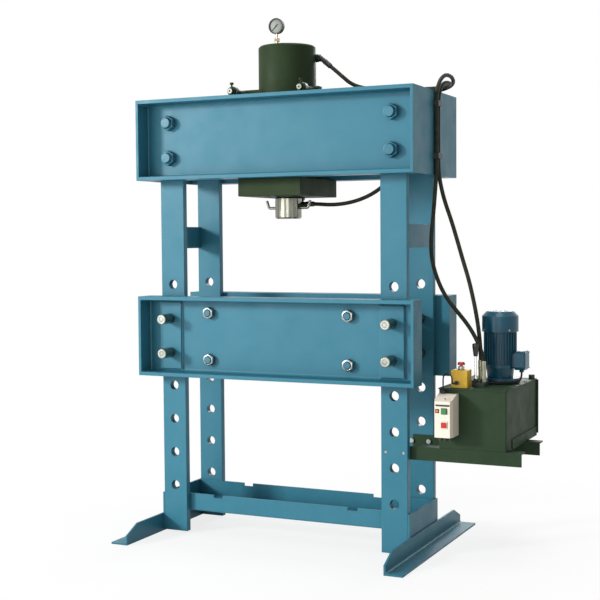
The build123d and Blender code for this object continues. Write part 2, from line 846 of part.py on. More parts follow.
# Gear pump under the lid, with its suction pipe and strainer
pump_top = lid_bottom - 12
pump_bottom = pump_top - pump_height
with BuildPart() as gear_pump:
    with BuildSketch(level(pump_bottom, motor_x, motor_y)):
        Rectangle(pump_width, pump_depth)
    extrude(amount=pump_height)
    fillet(gear_pump.edges().filter_by(Axis.Z), 16)
    with BuildSketch(level(pump_top, motor_x, motor_y)):
        Circle(shaft_diameter / 2 + running_clearance)
    extrude(amount=-30, mode=Mode.SUBTRACT)
    with BuildSketch(level(pump_bottom, motor_x - 28, motor_y)):
        Circle(suction_diameter / 2)
    extrude(amount=-(pump_bottom - tank_bottom - tank_wall - strainer_height - 14))
    with BuildSketch(level(tank_bottom + tank_wall + 14, motor_x - 28, motor_y)):
        Circle(strainer_diameter / 2)
    extrude(amount=strainer_height)
finish(gear_pump.part, "gear_pump")

# Motor frame: a finned barrel with end shields, its terminal box seat on the right
body_bottom = motor_base
body_top = motor_base + motor_body_bottom + motor_body_height
with BuildPart() as motor_frame:
    with BuildSketch(level(body_bottom, motor_x, motor_y)):
        Circle(flange_plate_radius)
    extrude(amount=10)
    with BuildSketch(level(body_bottom + 10, motor_x, motor_y)):
        Circle(motor_radius - 8)
    extrude(amount=motor_body_bottom - 10, taper=-6)
    with BuildSketch(level(body_bottom + motor_body_bottom - 14, motor_x, motor_y)):
        Circle(motor_radius + 3)
    extrude(amount=14)
    with BuildSketch(level(body_bottom + motor_body_bottom, motor_x, motor_y)):
        Circle(motor_radius)
        with PolarLocations(motor_radius + fin_height / 2 - 1, fin_count):
            Rectangle(fin_height + 2, fin_thickness)
    extrude(amount=motor_body_height - 12)
    with BuildSketch(level(body_top - 12, motor_x, motor_y)):
        Circle(motor_radius + 3)
    extrude(amount=12)
    with BuildSketch(across(motor_x)):
        with Locations((motor_y, body_bottom + terminal_rise)):
            Rectangle(terminal_width - 20, terminal_height - 24)
    extrude(amount=terminal_seat)
    with BuildSketch(level(body_bottom, motor_x, motor_y)):
        Circle(shaft_diameter / 2 + running_clearance)
    extrude(amount=motor_body_bottom + motor_body_height, mode=Mode.SUBTRACT)
finish(motor_frame.part, "motor_frame")

# Terminal box with a rounded cover
terminal_left = motor_x + terminal_seat
terminal_z = body_bottom + terminal_rise
with BuildPart() as terminal_box:
    with BuildSketch(across(terminal_left)):
        with Locations((motor_y, terminal_z)):
            RectangleRounded(terminal_width, terminal_height, 14)
    extrude(amount=terminal_depth)
    chamfer(terminal_box.faces().sort_by(Axis.X)[-1].edges(), 6)
finish(terminal_box.part, "terminal_box")

# Rotor shaft with the cooling fan at its top end
shaft_top = body_top + 40
with BuildPart() as motor_rotor:
    with BuildSketch(level(pump_top - 28, motor_x, motor_y)):
        Circle(shaft_diameter / 2)
    extrude(amount=shaft_top - pump_top + 28)
    with BuildSketch(level(body_top + 12, motor_x, motor_y)):
        Circle(fan_radius)
    extrude(amount=3)
    with BuildSketch(level(body_top + 15, motor_x, motor_y)):
        Circle(shaft_diameter / 2 + 8)
        with PolarLocations(fan_radius / 2 + 6, fan_blades):
            Rectangle(fan_radius - 14, 3)
    extrude(amount=24)
finish(motor_rotor.part, "motor_rotor")

# Fan cover: a pressed shell with a slotted top
cover_bottom = body_top - 8
with BuildPart() as fan_cover:
    with BuildSketch(level(cover_bottom, motor_x, motor_y)):
        Circle(cover_radius)
    extrude(amount=cover_height)
    chamfer(fan_cover.edges().filter_by(GeomType.CIRCLE).sort_by(Axis.Z)[-1], cover_chamfer)
    offset(amount=-cover_wall, openings=fan_cover.faces().sort_by(Axis.Z)[0])
    with BuildSketch(level(cover_bottom + cover_height - cover_wall - 1, motor_x, motor_y)):
        with PolarLocations(34, 14):
            Rectangle(30, 5)
    extrude(amount=cover_wall + 2, mode=Mode.SUBTRACT)
    with BuildSketch(level(cover_bottom, motor_x, motor_y)):
        with PolarLocations((cover_radius - cover_wall + motor_radius + 3) / 2, 4, 45):
            Rectangle(cover_radius - cover_wall - motor_radius - 3 + 1, 12)
    extrude(amount=8)
    with BuildSketch(level(cover_bottom, motor_x, motor_y)):
        Circle(motor_radius + 3)
    extrude(amount=8, mode=Mode.SUBTRACT)
finish(fan_cover.part, "fan_cover")

# Directional valve, with two lugs and a pin that carry its lever
with BuildPart() as valve_block:
    with BuildSketch(level(lid_top, valve_x, valve_y)):
        Rectangle(valve_width, valve_depth)
    extrude(amount=valve_height)
    chamfer(valve_block.edges().group_by(Axis.Z)[-1], 2)
    for y in left_right:
        with BuildSketch(facing(lever_y + y * (lever_hub_width / 2 + lever_clearance))):
            with Locations((lever_x, (lid_top + valve_height + lever_pivot) / 2)):
                Rectangle(lever_hub_diameter, lever_pivot - lid_top - valve_height)
            with Locations((lever_x, lever_pivot)):
                Circle(lever_hub_diameter / 2)
        extrude(amount=-y * lever_lug_width)
    with BuildSketch(facing(lever_y)):
        with Locations((lever_x, lever_pivot)):
            Circle(lever_pin_diameter / 2)
    extrude(amount=lever_hub_width / 2 + lever_clearance + lever_lug_width, both=True)
finish(valve_block.part, "valve_block")

with BuildPart() as valve_lever:
    with BuildSketch(facing(lever_y)):
        with Locations((lever_x, lever_pivot)):
            Circle(lever_hub_diameter / 2)
    extrude(amount=lever_hub_width / 2, both=True)
    with BuildSketch(level(lever_pivot, lever_x, lever_y)):
        Circle(lever_rod_diameter / 2)
    extrude(amount=lever_rod_length)
    with BuildSketch(level(lever_pivot + lever_rod_length, lever_x, lever_y)):
        Circle(knob_bottom_diameter / 2)
    with BuildSketch(level(lever_pivot + lever_rod_length + knob_height - 8, lever_x, lever_y)):
        Circle(knob_top_diameter / 2)
    loft()
    with BuildSketch(level(lever_pivot + lever_rod_length + knob_height - 8, lever_x, lever_y)):
        Circle(knob_top_diameter / 2)
    extrude(amount=8)
    chamfer(valve_lever.edges().filter_by(GeomType.CIRCLE).sort_by(Axis.Z)[-1], 5)
    with BuildSketch(facing(lever_y)):
        with Locations((lever_x, lever_pivot)):
            Circle(lever_pin_diameter / 2 + running_clearance)
    extrude(amount=lever_hub_width, both=True, mode=Mode.SUBTRACT)
finish(valve_lever.part, "valve_lever")

# Hose fittings on the valve: a nut and a ferrule each
with BuildPart() as pack_fittings:
    for x, y in fitting_points:
        with BuildSketch(level(lid_top + valve_height, x, y)):
            hexagon(fitting_nut_flats)
        extrude(amount=fitting_nut)
        with BuildSketch(level(lid_top + valve_height + fitting_nut, x, y)):
            Circle(fitting_diameter / 2)
        extrude(amount=fitting_height - fitting_nut)
finish(pack_fittings.part, "pack_fittings")

# Filler breather: a round cap on a short neck
with BuildPart() as breather_cap:
    with BuildSketch(level(lid_bottom - 10, breather_x, breather_y)):
        Circle(breather_neck_diameter / 2)
    extrude(amount=tank_lid_thickness + 16)
    with BuildSketch(level(lid_top + button_gap, breather_x, breather_y)):
        Circle(breather_diameter / 2)
    extrude(amount=breather_height)
    chamfer(breather_cap.edges().filter_by(GeomType.CIRCLE).sort_by(Axis.Z)[-1], 2)
finish(breather_cap.part, "breather_cap")

# Emergency stop: box with a bored collar, and its mushroom button
estop_top = lid_top + estop_height
with BuildPart() as estop_box:
    with BuildSketch(level(lid_top, estop_x, estop_y)):
        RectangleRounded(estop_width, estop_depth, 4)
    extrude(amount=estop_height)
    chamfer(estop_box.edges().group_by(Axis.Z)[-1], 2)
    with BuildSketch(level(estop_top, estop_x, estop_y)):
        Circle(estop_collar_diameter / 2)
    extrude(amount=estop_collar_height)
    with BuildSketch(level(estop_top + estop_collar_height, estop_x, estop_y)):
        Circle(estop_stem_diameter / 2 + running_clearance)
    extrude(amount=-estop_collar_height - 10, mode=Mode.SUBTRACT)
finish(estop_box.part, "estop_box")

with BuildPart() as estop_button:
    estop_seat = estop_top + estop_collar_height + estop_travel + button_gap
    with BuildSketch(level(estop_top + estop_travel, estop_x, estop_y)):
        Circle(estop_stem_diameter / 2)
    extrude(amount=estop_seat - estop_top - estop_travel)
    with BuildSketch(level(estop_seat, estop_x, estop_y)):
        Circle(estop_button_diameter / 2)
    extrude(amount=estop_button_height)
    chamfer(estop_button.edges().filter_by(GeomType.CIRCLE).sort_by(Axis.Z)[-1], 4)
finish(estop_button.part, "estop_button")

# Motor starter: a cast box with a sloping top and bevelled sides, on the tank's front
button_x = starter_left + starter_width / 2 + button_offset
starter_depth = tank_front - starter_front
starter_top = starter_bottom + starter_height
with BuildPart() as starter_box:
    with BuildSketch(across(starter_left)):
        with BuildLine():
            Polyline(
                (tank_front, starter_bottom),
                (starter_front, starter_bottom),
                (starter_front, starter_top),
                (starter_front + starter_depth * 0.7, starter_top + starter_slope),
                (tank_front, starter_top + starter_slope),
                close=True,
            )
        make_face()
    extrude(amount=starter_width)
    front_sides = starter_box.edges().filter_by(Axis.Z).group_by(Axis.Y)[0]
    chamfer(front_sides, starter_bevel * 0.3, starter_bevel)
    with BuildSketch(facing(starter_front)):
        for height in (start_button_height, stop_button_height):
            with Locations((button_x, height)):
                Rectangle(button_size + 2 * button_gap, button_size + 2 * button_gap)
    extrude(amount=-12, mode=Mode.SUBTRACT)
finish(starter_box.part, "starter_box")

for height, button_name in ((start_button_height, "start_button"), (stop_button_height, "stop_button")):
    with BuildPart() as push_button:
        with BuildSketch(facing(starter_front + 12 - 4)):
            with Locations((button_x, height)):
                RectangleRounded(button_size, button_size, 2)
        extrude(amount=8 + button_height)
        chamfer(push_button.faces().sort_by(Axis.Y)[0].edges(), 1)
    finish(push_button.part, button_name)

with BuildPart() as starter_lamp:
    with BuildSketch(facing(starter_front)):
        with Locations((starter_left + 17, start_button_height)):
            Circle(lamp_diameter / 2)
    extrude(amount=4)
    chamfer(starter_lamp.edges().filter_by(GeomType.CIRCLE).sort_by(Axis.Y)[0], 1.5)
finish(starter_lamp.part, "starter_lamp")

# Cable glands: two on the emergency stop, one under the terminal box, one on top of the starter
estop_gland = (estop_x - 10, lid_top + 20)
estop_back_gland = (estop_x, lid_top + 22)
starter_gland = (starter_left + 16, tank_front - 16)
terminal_gland = (terminal_left + terminal_depth / 2 - 1, motor_y)
with BuildPart() as cable_glands:
    with BuildSketch(facing(estop_y - estop_depth / 2)):
        with Locations(estop_gland):
            Circle(gland_diameter / 2)
    extrude(amount=gland_length * 0.6)
    with BuildSketch(facing(estop_y + estop_depth / 2)):
        with Locations(estop_back_gland):
            Circle(gland_diameter / 2)
    extrude(amount=-gland_length * 0.6)
    with BuildSketch(level(terminal_z - terminal_height / 2, terminal_gland[0], terminal_gland[1])):
        hexagon(gland_diameter)
    extrude(amount=-gland_length * 0.6)
    with BuildSketch(level(starter_top + starter_slope, starter_gland[0], starter_gland[1])):
        hexagon(gland_diameter)
    extrude(amount=gland_length * 0.6)
    with BuildSketch(level(starter_bottom)):
        for x in (16, 36, 56):
            with Locations((starter_left + x, (starter_front + tank_front) / 2)):
                Circle(gland_diameter / 2)
    extrude(amount=-gland_length)
finish(cable_glands.part, "cable_glands")

# Hose clips: saddles that hold the two hoses against the head's right end plate
hose_line_x = half_length + hose_diameter / 2 + 2
hose_spacing = 24
hose_y = (-22, -22 + hose_spacing)
clip_heights = (1856, 1640)
with BuildPart() as hose_clips:
    for height in clip_heights:
        with BuildSketch(level(height, half_length)):
            with Locations((hose_diameter / 2 + 3.5, sum(hose_y) / 2)):
                Rectangle(hose_diameter + 7, hose_spacing + hose_diameter + 6)
            for y in hose_y:
                with Locations((hose_diameter / 2 + 2, y)):
                    Circle(hose_diameter / 2 + clip_clearance, mode=Mode.SUBTRACT)
        extrude(amount=22)
finish(hose_clips.part, "hose_clips")


def cord(points, diameter, name):
    """A tube along straight runs joined by tangent arcs, each as large as its two runs allow."""
    corners = [Vector(press_x + x, y, z) for x, y, z in points]
    radii = []
    for before, corner, after in zip(corners, corners[1:], corners[2:]):
        turn = math.radians((corner - before).get_angle(after - corner))
        run = min((corner - before).length, (after - corner).length)
        radii.append(0.45 * run / math.tan(turn / 2))
    with BuildPart() as tube:
        with BuildLine() as route:
            FilletPolyline(*corners, radius=radii)
        with BuildSketch(Plane(corners[0], z_dir=corners[1] - corners[0])):
            Circle(diameter / 2)
        sweep()
    length = sum(edge.length for edge in route.edges())
    section = math.pi * diameter ** 2 / 4
    share = tube.part.volume / (section * length)
    print(f"{name}: length {length:.0f}, least radius {min(radii):.0f}, volume share {share:.4f}")
    finish(tube.part, name)


# Hose from the barrel's top port: over the head's back beam, in an arch over its end, then down
# to the power pack
top_hose_bend = port_mouth + port_elbow.z_dir * 57
cord(
    [
        tuple(port_mouth),
        tuple(top_hose_bend),
        (202, 50, head_top + 92),
        (238, 66, head_top + 58),
        (286, 92, head_top + 40),
        (346, 130, head_top + 38),
        (400, 170, head_top + 40),
        (446, 209, head_top + 41),
        (504, 237, head_top + 40),
        (564, 241, head_top + 40),
        (618, 219, head_top + 41),
        (652, 175, head_top + 44),
        (hose_line_x + 7.5, 121, head_top + 45),
        (hose_line_x + 2.5, 67.4, head_top + 39.4),
        (hose_line_x + 0.5, hose_y[1] + 22, head_top + 9),
        (hose_line_x, hose_y[1], head_top - 38),
        (hose_line_x, hose_y[1], head_top - 107),
        (hose_line_x, hose_y[1] - 1, head_top - 165),
        (hose_line_x, hose_y[1], head_top - 220),
        (hose_line_x, hose_y[1], head_top - 330),
        (hose_line_x + 10, hose_y[1], 1530),
        (hose_line_x + 28, hose_y[1] - 1, 1462),
        (hose_line_x + 56, hose_y[1] - 1, 1385),
        (hose_line_x + 82, hose_y[1] - 2, 1302),
        (hose_line_x + 106, hose_y[1] - 2, 1220),
        (hose_line_x + 132, hose_y[1] - 2, 1138),
        (hose_line_x + 152, hose_y[1] - 3, 1055),
        (hose_line_x + 168, hose_y[1] - 3, 975),
        (hose_line_x + 178, hose_y[1] - 3, 900),
        (fitting_points[1][0], fitting_points[1][1], fitting_top + 62),
        (fitting_points[1][0], fitting_points[1][1], fitting_top),
    ],
    hose_diameter,
    "hose_top",
)

# Hose from the port under the block: up behind the right uprights, over the back beam, outside
# the first hose in the arch, and down beside it
low_hose_height = block_bottom - low_port_drop
cord(
    [
        (low_port[0] + low_port_reach, low_port[1], low_hose_height),
        (low_port[0] + low_port_reach + 48, low_port[1], low_hose_height),
        (132, 73, low_hose_height - 6),
        (208, 62, low_hose_height - 2),
        (283, 50, low_hose_height + 13),
        (355, 38, low_hose_height + 41),
        (417, 29, low_hose_height + 83),
        (463.5, 27, low_hose_height + 141),
        (478.5, 34, head_top - 252),
        (478.5, 48, head_top - 182),
        (474.5, 66, head_top - 110),
        (468.5, 92, head_top - 52),
        (462.5, 132, head_top - 8),
        (458.5, 184, head_top + 14),
        (482.5, 236, head_top + 21),
        (530.5, 268, head_top + 28),
        (588.5, 268, head_top + 36),
        (636.5, 238, head_top + 46),
        (hose_line_x + 8, 187, head_top + 60),
        (hose_line_x + 14, 128, head_top + 74),
        (hose_line_x + 8, 66, head_top + 73),
        (hose_line_x + 2, 10.5, head_top + 41),
        (hose_line_x, hose_y[0], head_top - 15),
        (hose_line_x, hose_y[0], head_top - 107),
        (hose_line_x, hose_y[0] - 1, head_top - 165),
        (hose_line_x, hose_y[0], head_top - 220),
        (hose_line_x, hose_y[0], head_top - 330),
        (hose_line_x - 4, hose_y[0] - 1, 1528),
        (hose_line_x - 10, hose_y[0] - 3, 1443),
        (hose_line_x - 17, hose_y[0] - 4, 1371),
        (hose_line_x - 23, hose_y[0] - 4, 1299),
        (hose_line_x - 21, hose_y[0] - 4, 1222),
        (hose_line_x + 4, hose_y[0] - 4, 1138),
        (hose_line_x + 40, hose_y[0] - 5, 1068),
        (hose_line_x + 90, hose_y[0] - 6, 1008),
        (hose_line_x + 135, hose_y[0] - 7, 956),
        (hose_line_x + 170, hose_y[0] - 8, 902),
        (hose_line_x + 194, hose_y[0] - 8, 848),
        (fitting_points[0][0], fitting_points[0][1], fitting_top + 42),
        (fitting_points[0][0], fitting_points[0][1], fitting_top),
    ],
    hose_diameter,
    "hose_bottom",
)

# Cable from the emergency stop to the starter, in a loop over the lid's edge
loop_front = -182
loop_height = lid_top + 50
estop_mouth = estop_y - estop_depth / 2 - gland_length * 0.6
starter_mouth = starter_top + starter_slope + gland_length * 0.6
cord(
    [
        (estop_gland[0], estop_mouth, estop_gland[1]),
        (estop_gland[0], loop_front + 12, estop_gland[1]),
        (estop_gland[0], loop_front, estop_gland[1] + 12),
        (estop_gland[0], loop_front, loop_height),
        (estop_gland[0] - 10.5, loop_front + 5.3, loop_height + 11.8),
        (starter_gland[0] + 10.6, starter_gland[1] - 5.3, loop_height + 11.8),
        (starter_gland[0], starter_gland[1], loop_height),
        (starter_gland[0] - 0.5, starter_gland[1], loop_height - 32),
        (starter_gland[0], starter_gland[1], starter_mouth),
    ],
    thin_cable_diameter,
    "estop_cable",
)

# Cable from the motor's terminal box, round the front of the motor, to the emergency stop
terminal_mouth = terminal_z - terminal_height / 2 - gland_length * 0.6
cord(
    [
        (terminal_gland[0], terminal_gland[1], terminal_mouth),
        (terminal_gland[0], terminal_gland[1], lid_top + 26),
        (terminal_gland[0] - 6.5, terminal_gland[1] - 13, lid_top + 9),
        (terminal_gland[0] - 11, terminal_gland[1] - 38, lid_top + 4.5),
        (terminal_gland[0] - 35.5, terminal_gland[1] - 70, lid_top + 6),
        (terminal_gland[0] - 71, terminal_gland[1] - 89, lid_top + 6.5),
        (terminal_gland[0] - 113, terminal_gland[1] - 94, lid_top + 6),
        (estop_x + 44, terminal_gland[1] - 98, lid_top + 7.5),
        (estop_x + 20, estop_y + estop_depth / 2 + 74, lid_top + 12),
        (estop_x + 8, estop_y + estop_depth / 2 + 56, lid_top + 16),
        (estop_back_gland[0], estop_y + estop_depth / 2 + 36, estop_back_gland[1]),
        (estop_back_gland[0], estop_y + estop_depth / 2 + gland_length * 0.6, estop_back_gland[1]),
    ],
    cable_diameter,
    "motor_cable",
)

print(f"press centre at x = {press_x:.1f}")
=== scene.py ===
import bpy
import math
from mathutils import Matrix, Vector


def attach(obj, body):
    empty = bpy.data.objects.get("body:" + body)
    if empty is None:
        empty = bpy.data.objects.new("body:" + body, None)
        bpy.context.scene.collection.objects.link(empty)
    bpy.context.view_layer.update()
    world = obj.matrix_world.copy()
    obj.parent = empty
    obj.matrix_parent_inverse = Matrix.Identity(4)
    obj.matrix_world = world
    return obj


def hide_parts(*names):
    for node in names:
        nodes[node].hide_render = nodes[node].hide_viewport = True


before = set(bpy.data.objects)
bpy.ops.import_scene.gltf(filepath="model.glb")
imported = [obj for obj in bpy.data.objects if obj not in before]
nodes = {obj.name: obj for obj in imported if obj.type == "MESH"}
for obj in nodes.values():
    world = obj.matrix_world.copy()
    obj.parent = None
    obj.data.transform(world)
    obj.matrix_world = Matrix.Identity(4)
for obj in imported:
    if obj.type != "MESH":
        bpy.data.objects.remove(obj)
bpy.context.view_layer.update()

# The press's centre line stands left of the row's origin, because the power pack stands to the right.
PRESS_X = -0.1895


def spot(x, y, z):
    """A point of the row frame, in metres, from millimetres counted from the press's centre line."""
    return Vector((PRESS_X + x / 1000, y / 1000, z / 1000))


# Materials

class Finish:
    """A procedural material that is built node by node, on object coordinates in metres."""

    def __init__(self, name):
        self.material = bpy.data.materials.new(name)
        self.material.use_nodes = True
        self.tree = self.material.node_tree
        self.shader = self.tree.nodes["Principled BSDF"]
        self.place = self.tree.nodes.new("ShaderNodeTexCoord").outputs["Object"]
        self.bumps = None

    def node(self, kind, **values):
        """Adds a node, and sets its properties and sockets by their names."""
        made = self.tree.nodes.new("ShaderNode" + kind)
        for key, value in values.items():
            if hasattr(made, key):
                setattr(made, key, value)
            else:
                made.inputs[key.replace("_", " ")].default_value = value
        return made

    def link(self, source, target):
        self.tree.links.new(source, target)

    def noise(self, scale, detail=3.0, roughness=0.55, stretch=(1, 1, 1)):
        """Noise on the object's coordinates, drawn out along the axes that are scaled least."""
        place = self.place
        if stretch != (1, 1, 1):
            mapping = self.node("Mapping")
            mapping.inputs["Scale"].default_value = stretch
            self.link(place, mapping.inputs["Vector"])
            place = mapping.outputs["Vector"]
        made = self.node("TexNoise", Scale=scale, Detail=detail, Roughness=roughness)
        self.link(place, made.inputs["Vector"])
        return made.outputs["Fac"]

    def spread(self, value, low, high, to_low=0.0, to_high=1.0):
        """Maps one range of a value to another, and clamps it there."""
        made = self.node("MapRange")
        made.clamp = True
        for key, number in zip(("From Min", "From Max", "To Min", "To Max"), (low, high, to_low, to_high)):
            made.inputs[key].default_value = number
        self.link(value, made.inputs["Value"])
        return made.outputs["Result"]

    def times(self, first, second):
        made = self.node("Math", operation="MULTIPLY")
        for socket, value in zip(made.inputs, (first, second)):
            if isinstance(value, (int, float)):
                socket.default_value = value
            else:
                self.link(value, socket)
        return made.outputs["Value"]

    def mix(self, factor, first, second):
        """The first colour where the factor is nothing, and the second where it is one."""
        made = self.node("Mix", data_type="RGBA")
        sockets = (made.inputs["Factor"], made.inputs[6], made.inputs[7])
        for socket, value in zip(sockets, (factor, first, second)):
            if isinstance(value, (int, float)):
                socket.default_value = value
            elif isinstance(value, tuple):
                socket.default_value = (*value, 1)
            else:
                self.link(value, socket)
        return made.outputs[2]

    def bump(self, height, strength, distance):
        """Adds a bump map over those that were added before it."""
        made = self.node("Bump")
        made.inputs["Strength"].default_value = strength
        made.inputs["Distance"].default_value = distance
        self.link(height, made.inputs["Height"])
        if self.bumps is not None:
            self.link(self.bumps, made.inputs["Normal"])
        self.bumps = made.outputs["Normal"]

    def rounded(self, radius):
        """Shades every sharp edge as if it were rounded to this radius."""
        made = self.node("Bevel")
        made.samples = 4
        made.inputs["Radius"].default_value = radius
        self.bumps = made.outputs["Normal"]

    def edges(self, radius, low=0.02, high=0.25):
        """How near a point is to a sharp edge, from 0 to 1."""
        bevel = self.node("Bevel")
        bevel.samples = 4
        bevel.inputs["Radius"].default_value = radius
        geometry = self.node("NewGeometry")
        dot = self.node("VectorMath", operation="DOT_PRODUCT")
        self.link(bevel.outputs["Normal"], dot.inputs[0])
        self.link(geometry.outputs["Normal"], dot.inputs[1])
        return self.spread(dot.outputs["Value"], 1 - low, 1 - high)

    def corners(self, distance):
        """How shut in a point is, from 0 in the open to 1 deep in a corner."""
        made = self.node("AmbientOcclusion")
        made.samples = 4
        made.inputs["Distance"].default_value = distance
        return self.spread(made.outputs["AO"], 0.85, 0.25)

    def done(self, colour, roughness, metallic=0.0, **more):
        """Feeds the shader, and returns the finished material."""
        for key, value in (("Base Color", colour), ("Roughness", roughness), ("Metallic", metallic)):
            socket = self.shader.inputs[key]
            if isinstance(value, (int, float)):
                socket.default_value = value
            elif isinstance(value, tuple):
                socket.default_value = (*value, 1)
            else:
                self.link(value, socket)
        for key, value in more.items():
            self.shader.inputs[key.replace("_", " ")].default_value = value
        if self.bumps is not None:
            self.link(self.bumps, self.shader.inputs["Normal"])
        return self.material


def enamel(name, colour, shade, light, gloss=0.42, wear=0.35, peel=0.18, grime_and_corner_shade=0.5, shine=0.4):
    """Sprayed enamel: cloudy in colour, with orange peel, paler at scuffed edges, with painted shade in
    corners.
    """
    f = Finish(name)
    f.rounded(0.0016)
    clouds = f.noise(3.2, 4)
    blotches = f.noise(17, 5, 0.62)
    base = f.mix(f.spread(clouds, 0.32, 0.68), shade, colour)
    base = f.mix(f.times(f.spread(blotches, 0.42, 0.72), 0.22), base, light)
    # Painted shade: the colour darkens in the corners that ambient occlusion finds
    base = f.mix(f.times(f.corners(0.05), grime_and_corner_shade), base, tuple(c * 0.42 for c in shade))
    scuffs = f.times(f.edges(0.0022), f.spread(f.noise(60, 4, 0.7), 0.42, 0.62))
    base = f.mix(f.times(scuffs, wear), base, tuple(min(1, c * 1.5 + 0.06) for c in light))
    f.bump(f.noise(900, 2), peel, 0.0003)
    f.bump(f.noise(26, 3), 0.12, 0.0012)
    rough = f.spread(f.noise(11, 4), 0.3, 0.7, gloss - 0.07, gloss + 0.09)
    return f.done(base, rough, 0.0, Specular_IOR_Level=shine)


def steel(name, colour, rough=0.34, grain=(1, 1, 60), dark=0.5, edge=0.0012, oil=0.35):
    """Bare or plated metal: its grain runs along the axes scaled least, oil darkens it in places, and
    painted shade darkens its corners.
    """
    f = Finish(name)
    f.rounded(edge)
    lines = f.noise(55, 3, 0.6, grain)
    stains = f.noise(20, 4, 0.6)
    base = f.mix(f.spread(lines, 0.3, 0.7), tuple(c * dark for c in colour), colour)
    base = f.mix(f.times(f.spread(stains, 0.45, 0.75), oil), base, tuple(c * 0.35 for c in colour))
    # Painted shade: the colour darkens in the corners that ambient occlusion finds
    base = f.mix(f.times(f.corners(0.02), 0.5), base, tuple(c * 0.2 for c in colour))
    f.bump(lines, 0.12, 0.0003)
    roughness = f.spread(stains, 0.3, 0.7, rough - 0.08, rough + 0.14)
    return f.done(base, roughness, 0.95)


def plastic(name, colour, rough=0.4, grain=0.12, edge=0.0012, grime_and_corner_shade=0.12):
    """Moulded plastic with a fine spark-eroded grain, a little grime on it, and painted shade in its
    corners.
    """
    f = Finish(name)
    f.rounded(edge)
    grime = tuple(min(1, c * 0.55 + 0.02) for c in colour)
    base = f.mix(f.times(f.spread(f.noise(24, 4), 0.35, 0.7), grime_and_corner_shade), colour, grime)
    # Painted shade: the colour darkens in the corners that ambient occlusion finds
    base = f.mix(f.times(f.corners(0.012), 0.45), base, tuple(c * 0.4 for c in colour))
    f.bump(f.noise(1400, 2), grain, 0.0002)
    return f.done(base, f.spread(f.noise(40, 3), 0.3, 0.7, rough - 0.06, rough + 0.08), 0.0)


def casting(name, colour, rough=0.5, grit=0.35):
    """Painted casting: a sandy surface under the paint, lighter at the edges, with painted shade in
    corners.
    """
    f = Finish(name)
    f.rounded(0.002)
    sand = f.noise(420, 4, 0.6)
    base = f.mix(f.spread(f.noise(9, 4), 0.3, 0.7), tuple(c * 0.72 for c in colour), colour)
    base = f.mix(f.times(f.edges(0.002), 0.3), base, tuple(min(1, c * 1.6 + 0.03) for c in colour))
    # Painted shade: the colour darkens in the corners that ambient occlusion finds
    base = f.mix(f.times(f.corners(0.02), 0.6), base, tuple(c * 0.35 for c in colour))
    f.bump(sand, grit, 0.0006)
    return f.done(base, rough, 0.0, Specular_IOR_Level=0.4)


def rubber(name, colour, rough=0.55):
    """Hose or cable rubber: dull, finely grained and paler in patches."""
    f = Finish(name)
    base = f.mix(f.spread(f.noise(30, 4), 0.4, 0.75), colour, tuple(c * 1.7 + 0.01 for c in colour))
    f.bump(f.noise(700, 3), 0.2, 0.0003)
    roughness = f.spread(f.noise(50, 3), 0.3, 0.7, rough - 0.08, rough + 0.1)
    return f.done(base, roughness, 0.0, Specular_IOR_Level=0.15)


blue = enamel("frame_enamel", (0.040, 0.192, 0.268), (0.033, 0.178, 0.250), (0.056, 0.222, 0.302),
              gloss=0.40, wear=0.15, peel=0.15, grime_and_corner_shade=0.6, shine=0.22)
bolt_blue = enamel("bolt_enamel", (0.045, 0.200, 0.275), (0.024, 0.130, 0.190), (0.09, 0.27, 0.35),
                   gloss=0.38, wear=0.6, peel=0.1, grime_and_corner_shade=0.7, shine=0.3)
weld_blue = enamel("weld_enamel", (0.075, 0.270, 0.350), (0.040, 0.185, 0.255), (0.13, 0.36, 0.45),
                   gloss=0.40, wear=0.2, peel=0.3, grime_and_corner_shade=0.3, shine=0.3)
olive = enamel("cylinder_enamel", (0.030, 0.050, 0.022), (0.022, 0.038, 0.016), (0.040, 0.062, 0.030),
               gloss=0.5, wear=0.3, peel=0.15, grime_and_corner_shade=0.5, shine=0.07)
tank_green = enamel("tank_enamel", (0.036, 0.064, 0.034), (0.027, 0.050, 0.026), (0.046, 0.078, 0.043),
                    gloss=0.5, wear=0.3, peel=0.2, grime_and_corner_shade=0.5, shine=0.06)
motor_blue = casting("motor_enamel", (0.002, 0.090, 0.150), rough=0.32)
chrome = steel("hard_chrome", (0.80, 0.82, 0.78),
               rough=0.12, grain=(60, 60, 1), dark=0.8, edge=0.0015, oil=0.12)
nose_metal = steel("nose_steel", (0.38, 0.38, 0.31),
                   rough=0.13, grain=(60, 60, 1), dark=0.35, edge=0.0015, oil=0.3)
pin_metal = steel("pin_steel", (0.30, 0.31, 0.26),
                  rough=0.24, grain=(60, 1, 60), dark=0.35, edge=0.0012, oil=0.6)
zinc = steel("zinc_plate", (0.42, 0.45, 0.43),
             rough=0.30, grain=(30, 30, 30), dark=0.6, edge=0.001, oil=0.3)
fitting_metal = steel("fitting_steel", (0.46, 0.46, 0.34),
                      rough=0.26, grain=(20, 20, 20), dark=0.5, edge=0.0008, oil=0.5)
roller_metal = steel("roller_steel", (0.24, 0.25, 0.23),
                     rough=0.34, grain=(1, 60, 1), dark=0.6, edge=0.001, oil=0.5)
brass = steel("turned_brass", (0.60, 0.50, 0.30),
              rough=0.26, grain=(30, 30, 30), dark=0.6, edge=0.0008, oil=0.4)
iron = enamel("valve_enamel", (0.026, 0.040, 0.034), (0.016, 0.028, 0.024), (0.05, 0.07, 0.06),
              gloss=0.36, wear=0.4, peel=0.15, grime_and_corner_shade=0.6, shine=0.3)
gauge_black = enamel("gauge_enamel", (0.012, 0.012, 0.012), (0.008, 0.008, 0.008), (0.03, 0.03, 0.03),
                     gloss=0.3, wear=0.3, peel=0.05, grime_and_corner_shade=0.2)
pointer_black = plastic("pointer_black", (0.010, 0.010, 0.010),
                        rough=0.5, grain=0.02, edge=0.0002, grime_and_corner_shade=0.0)
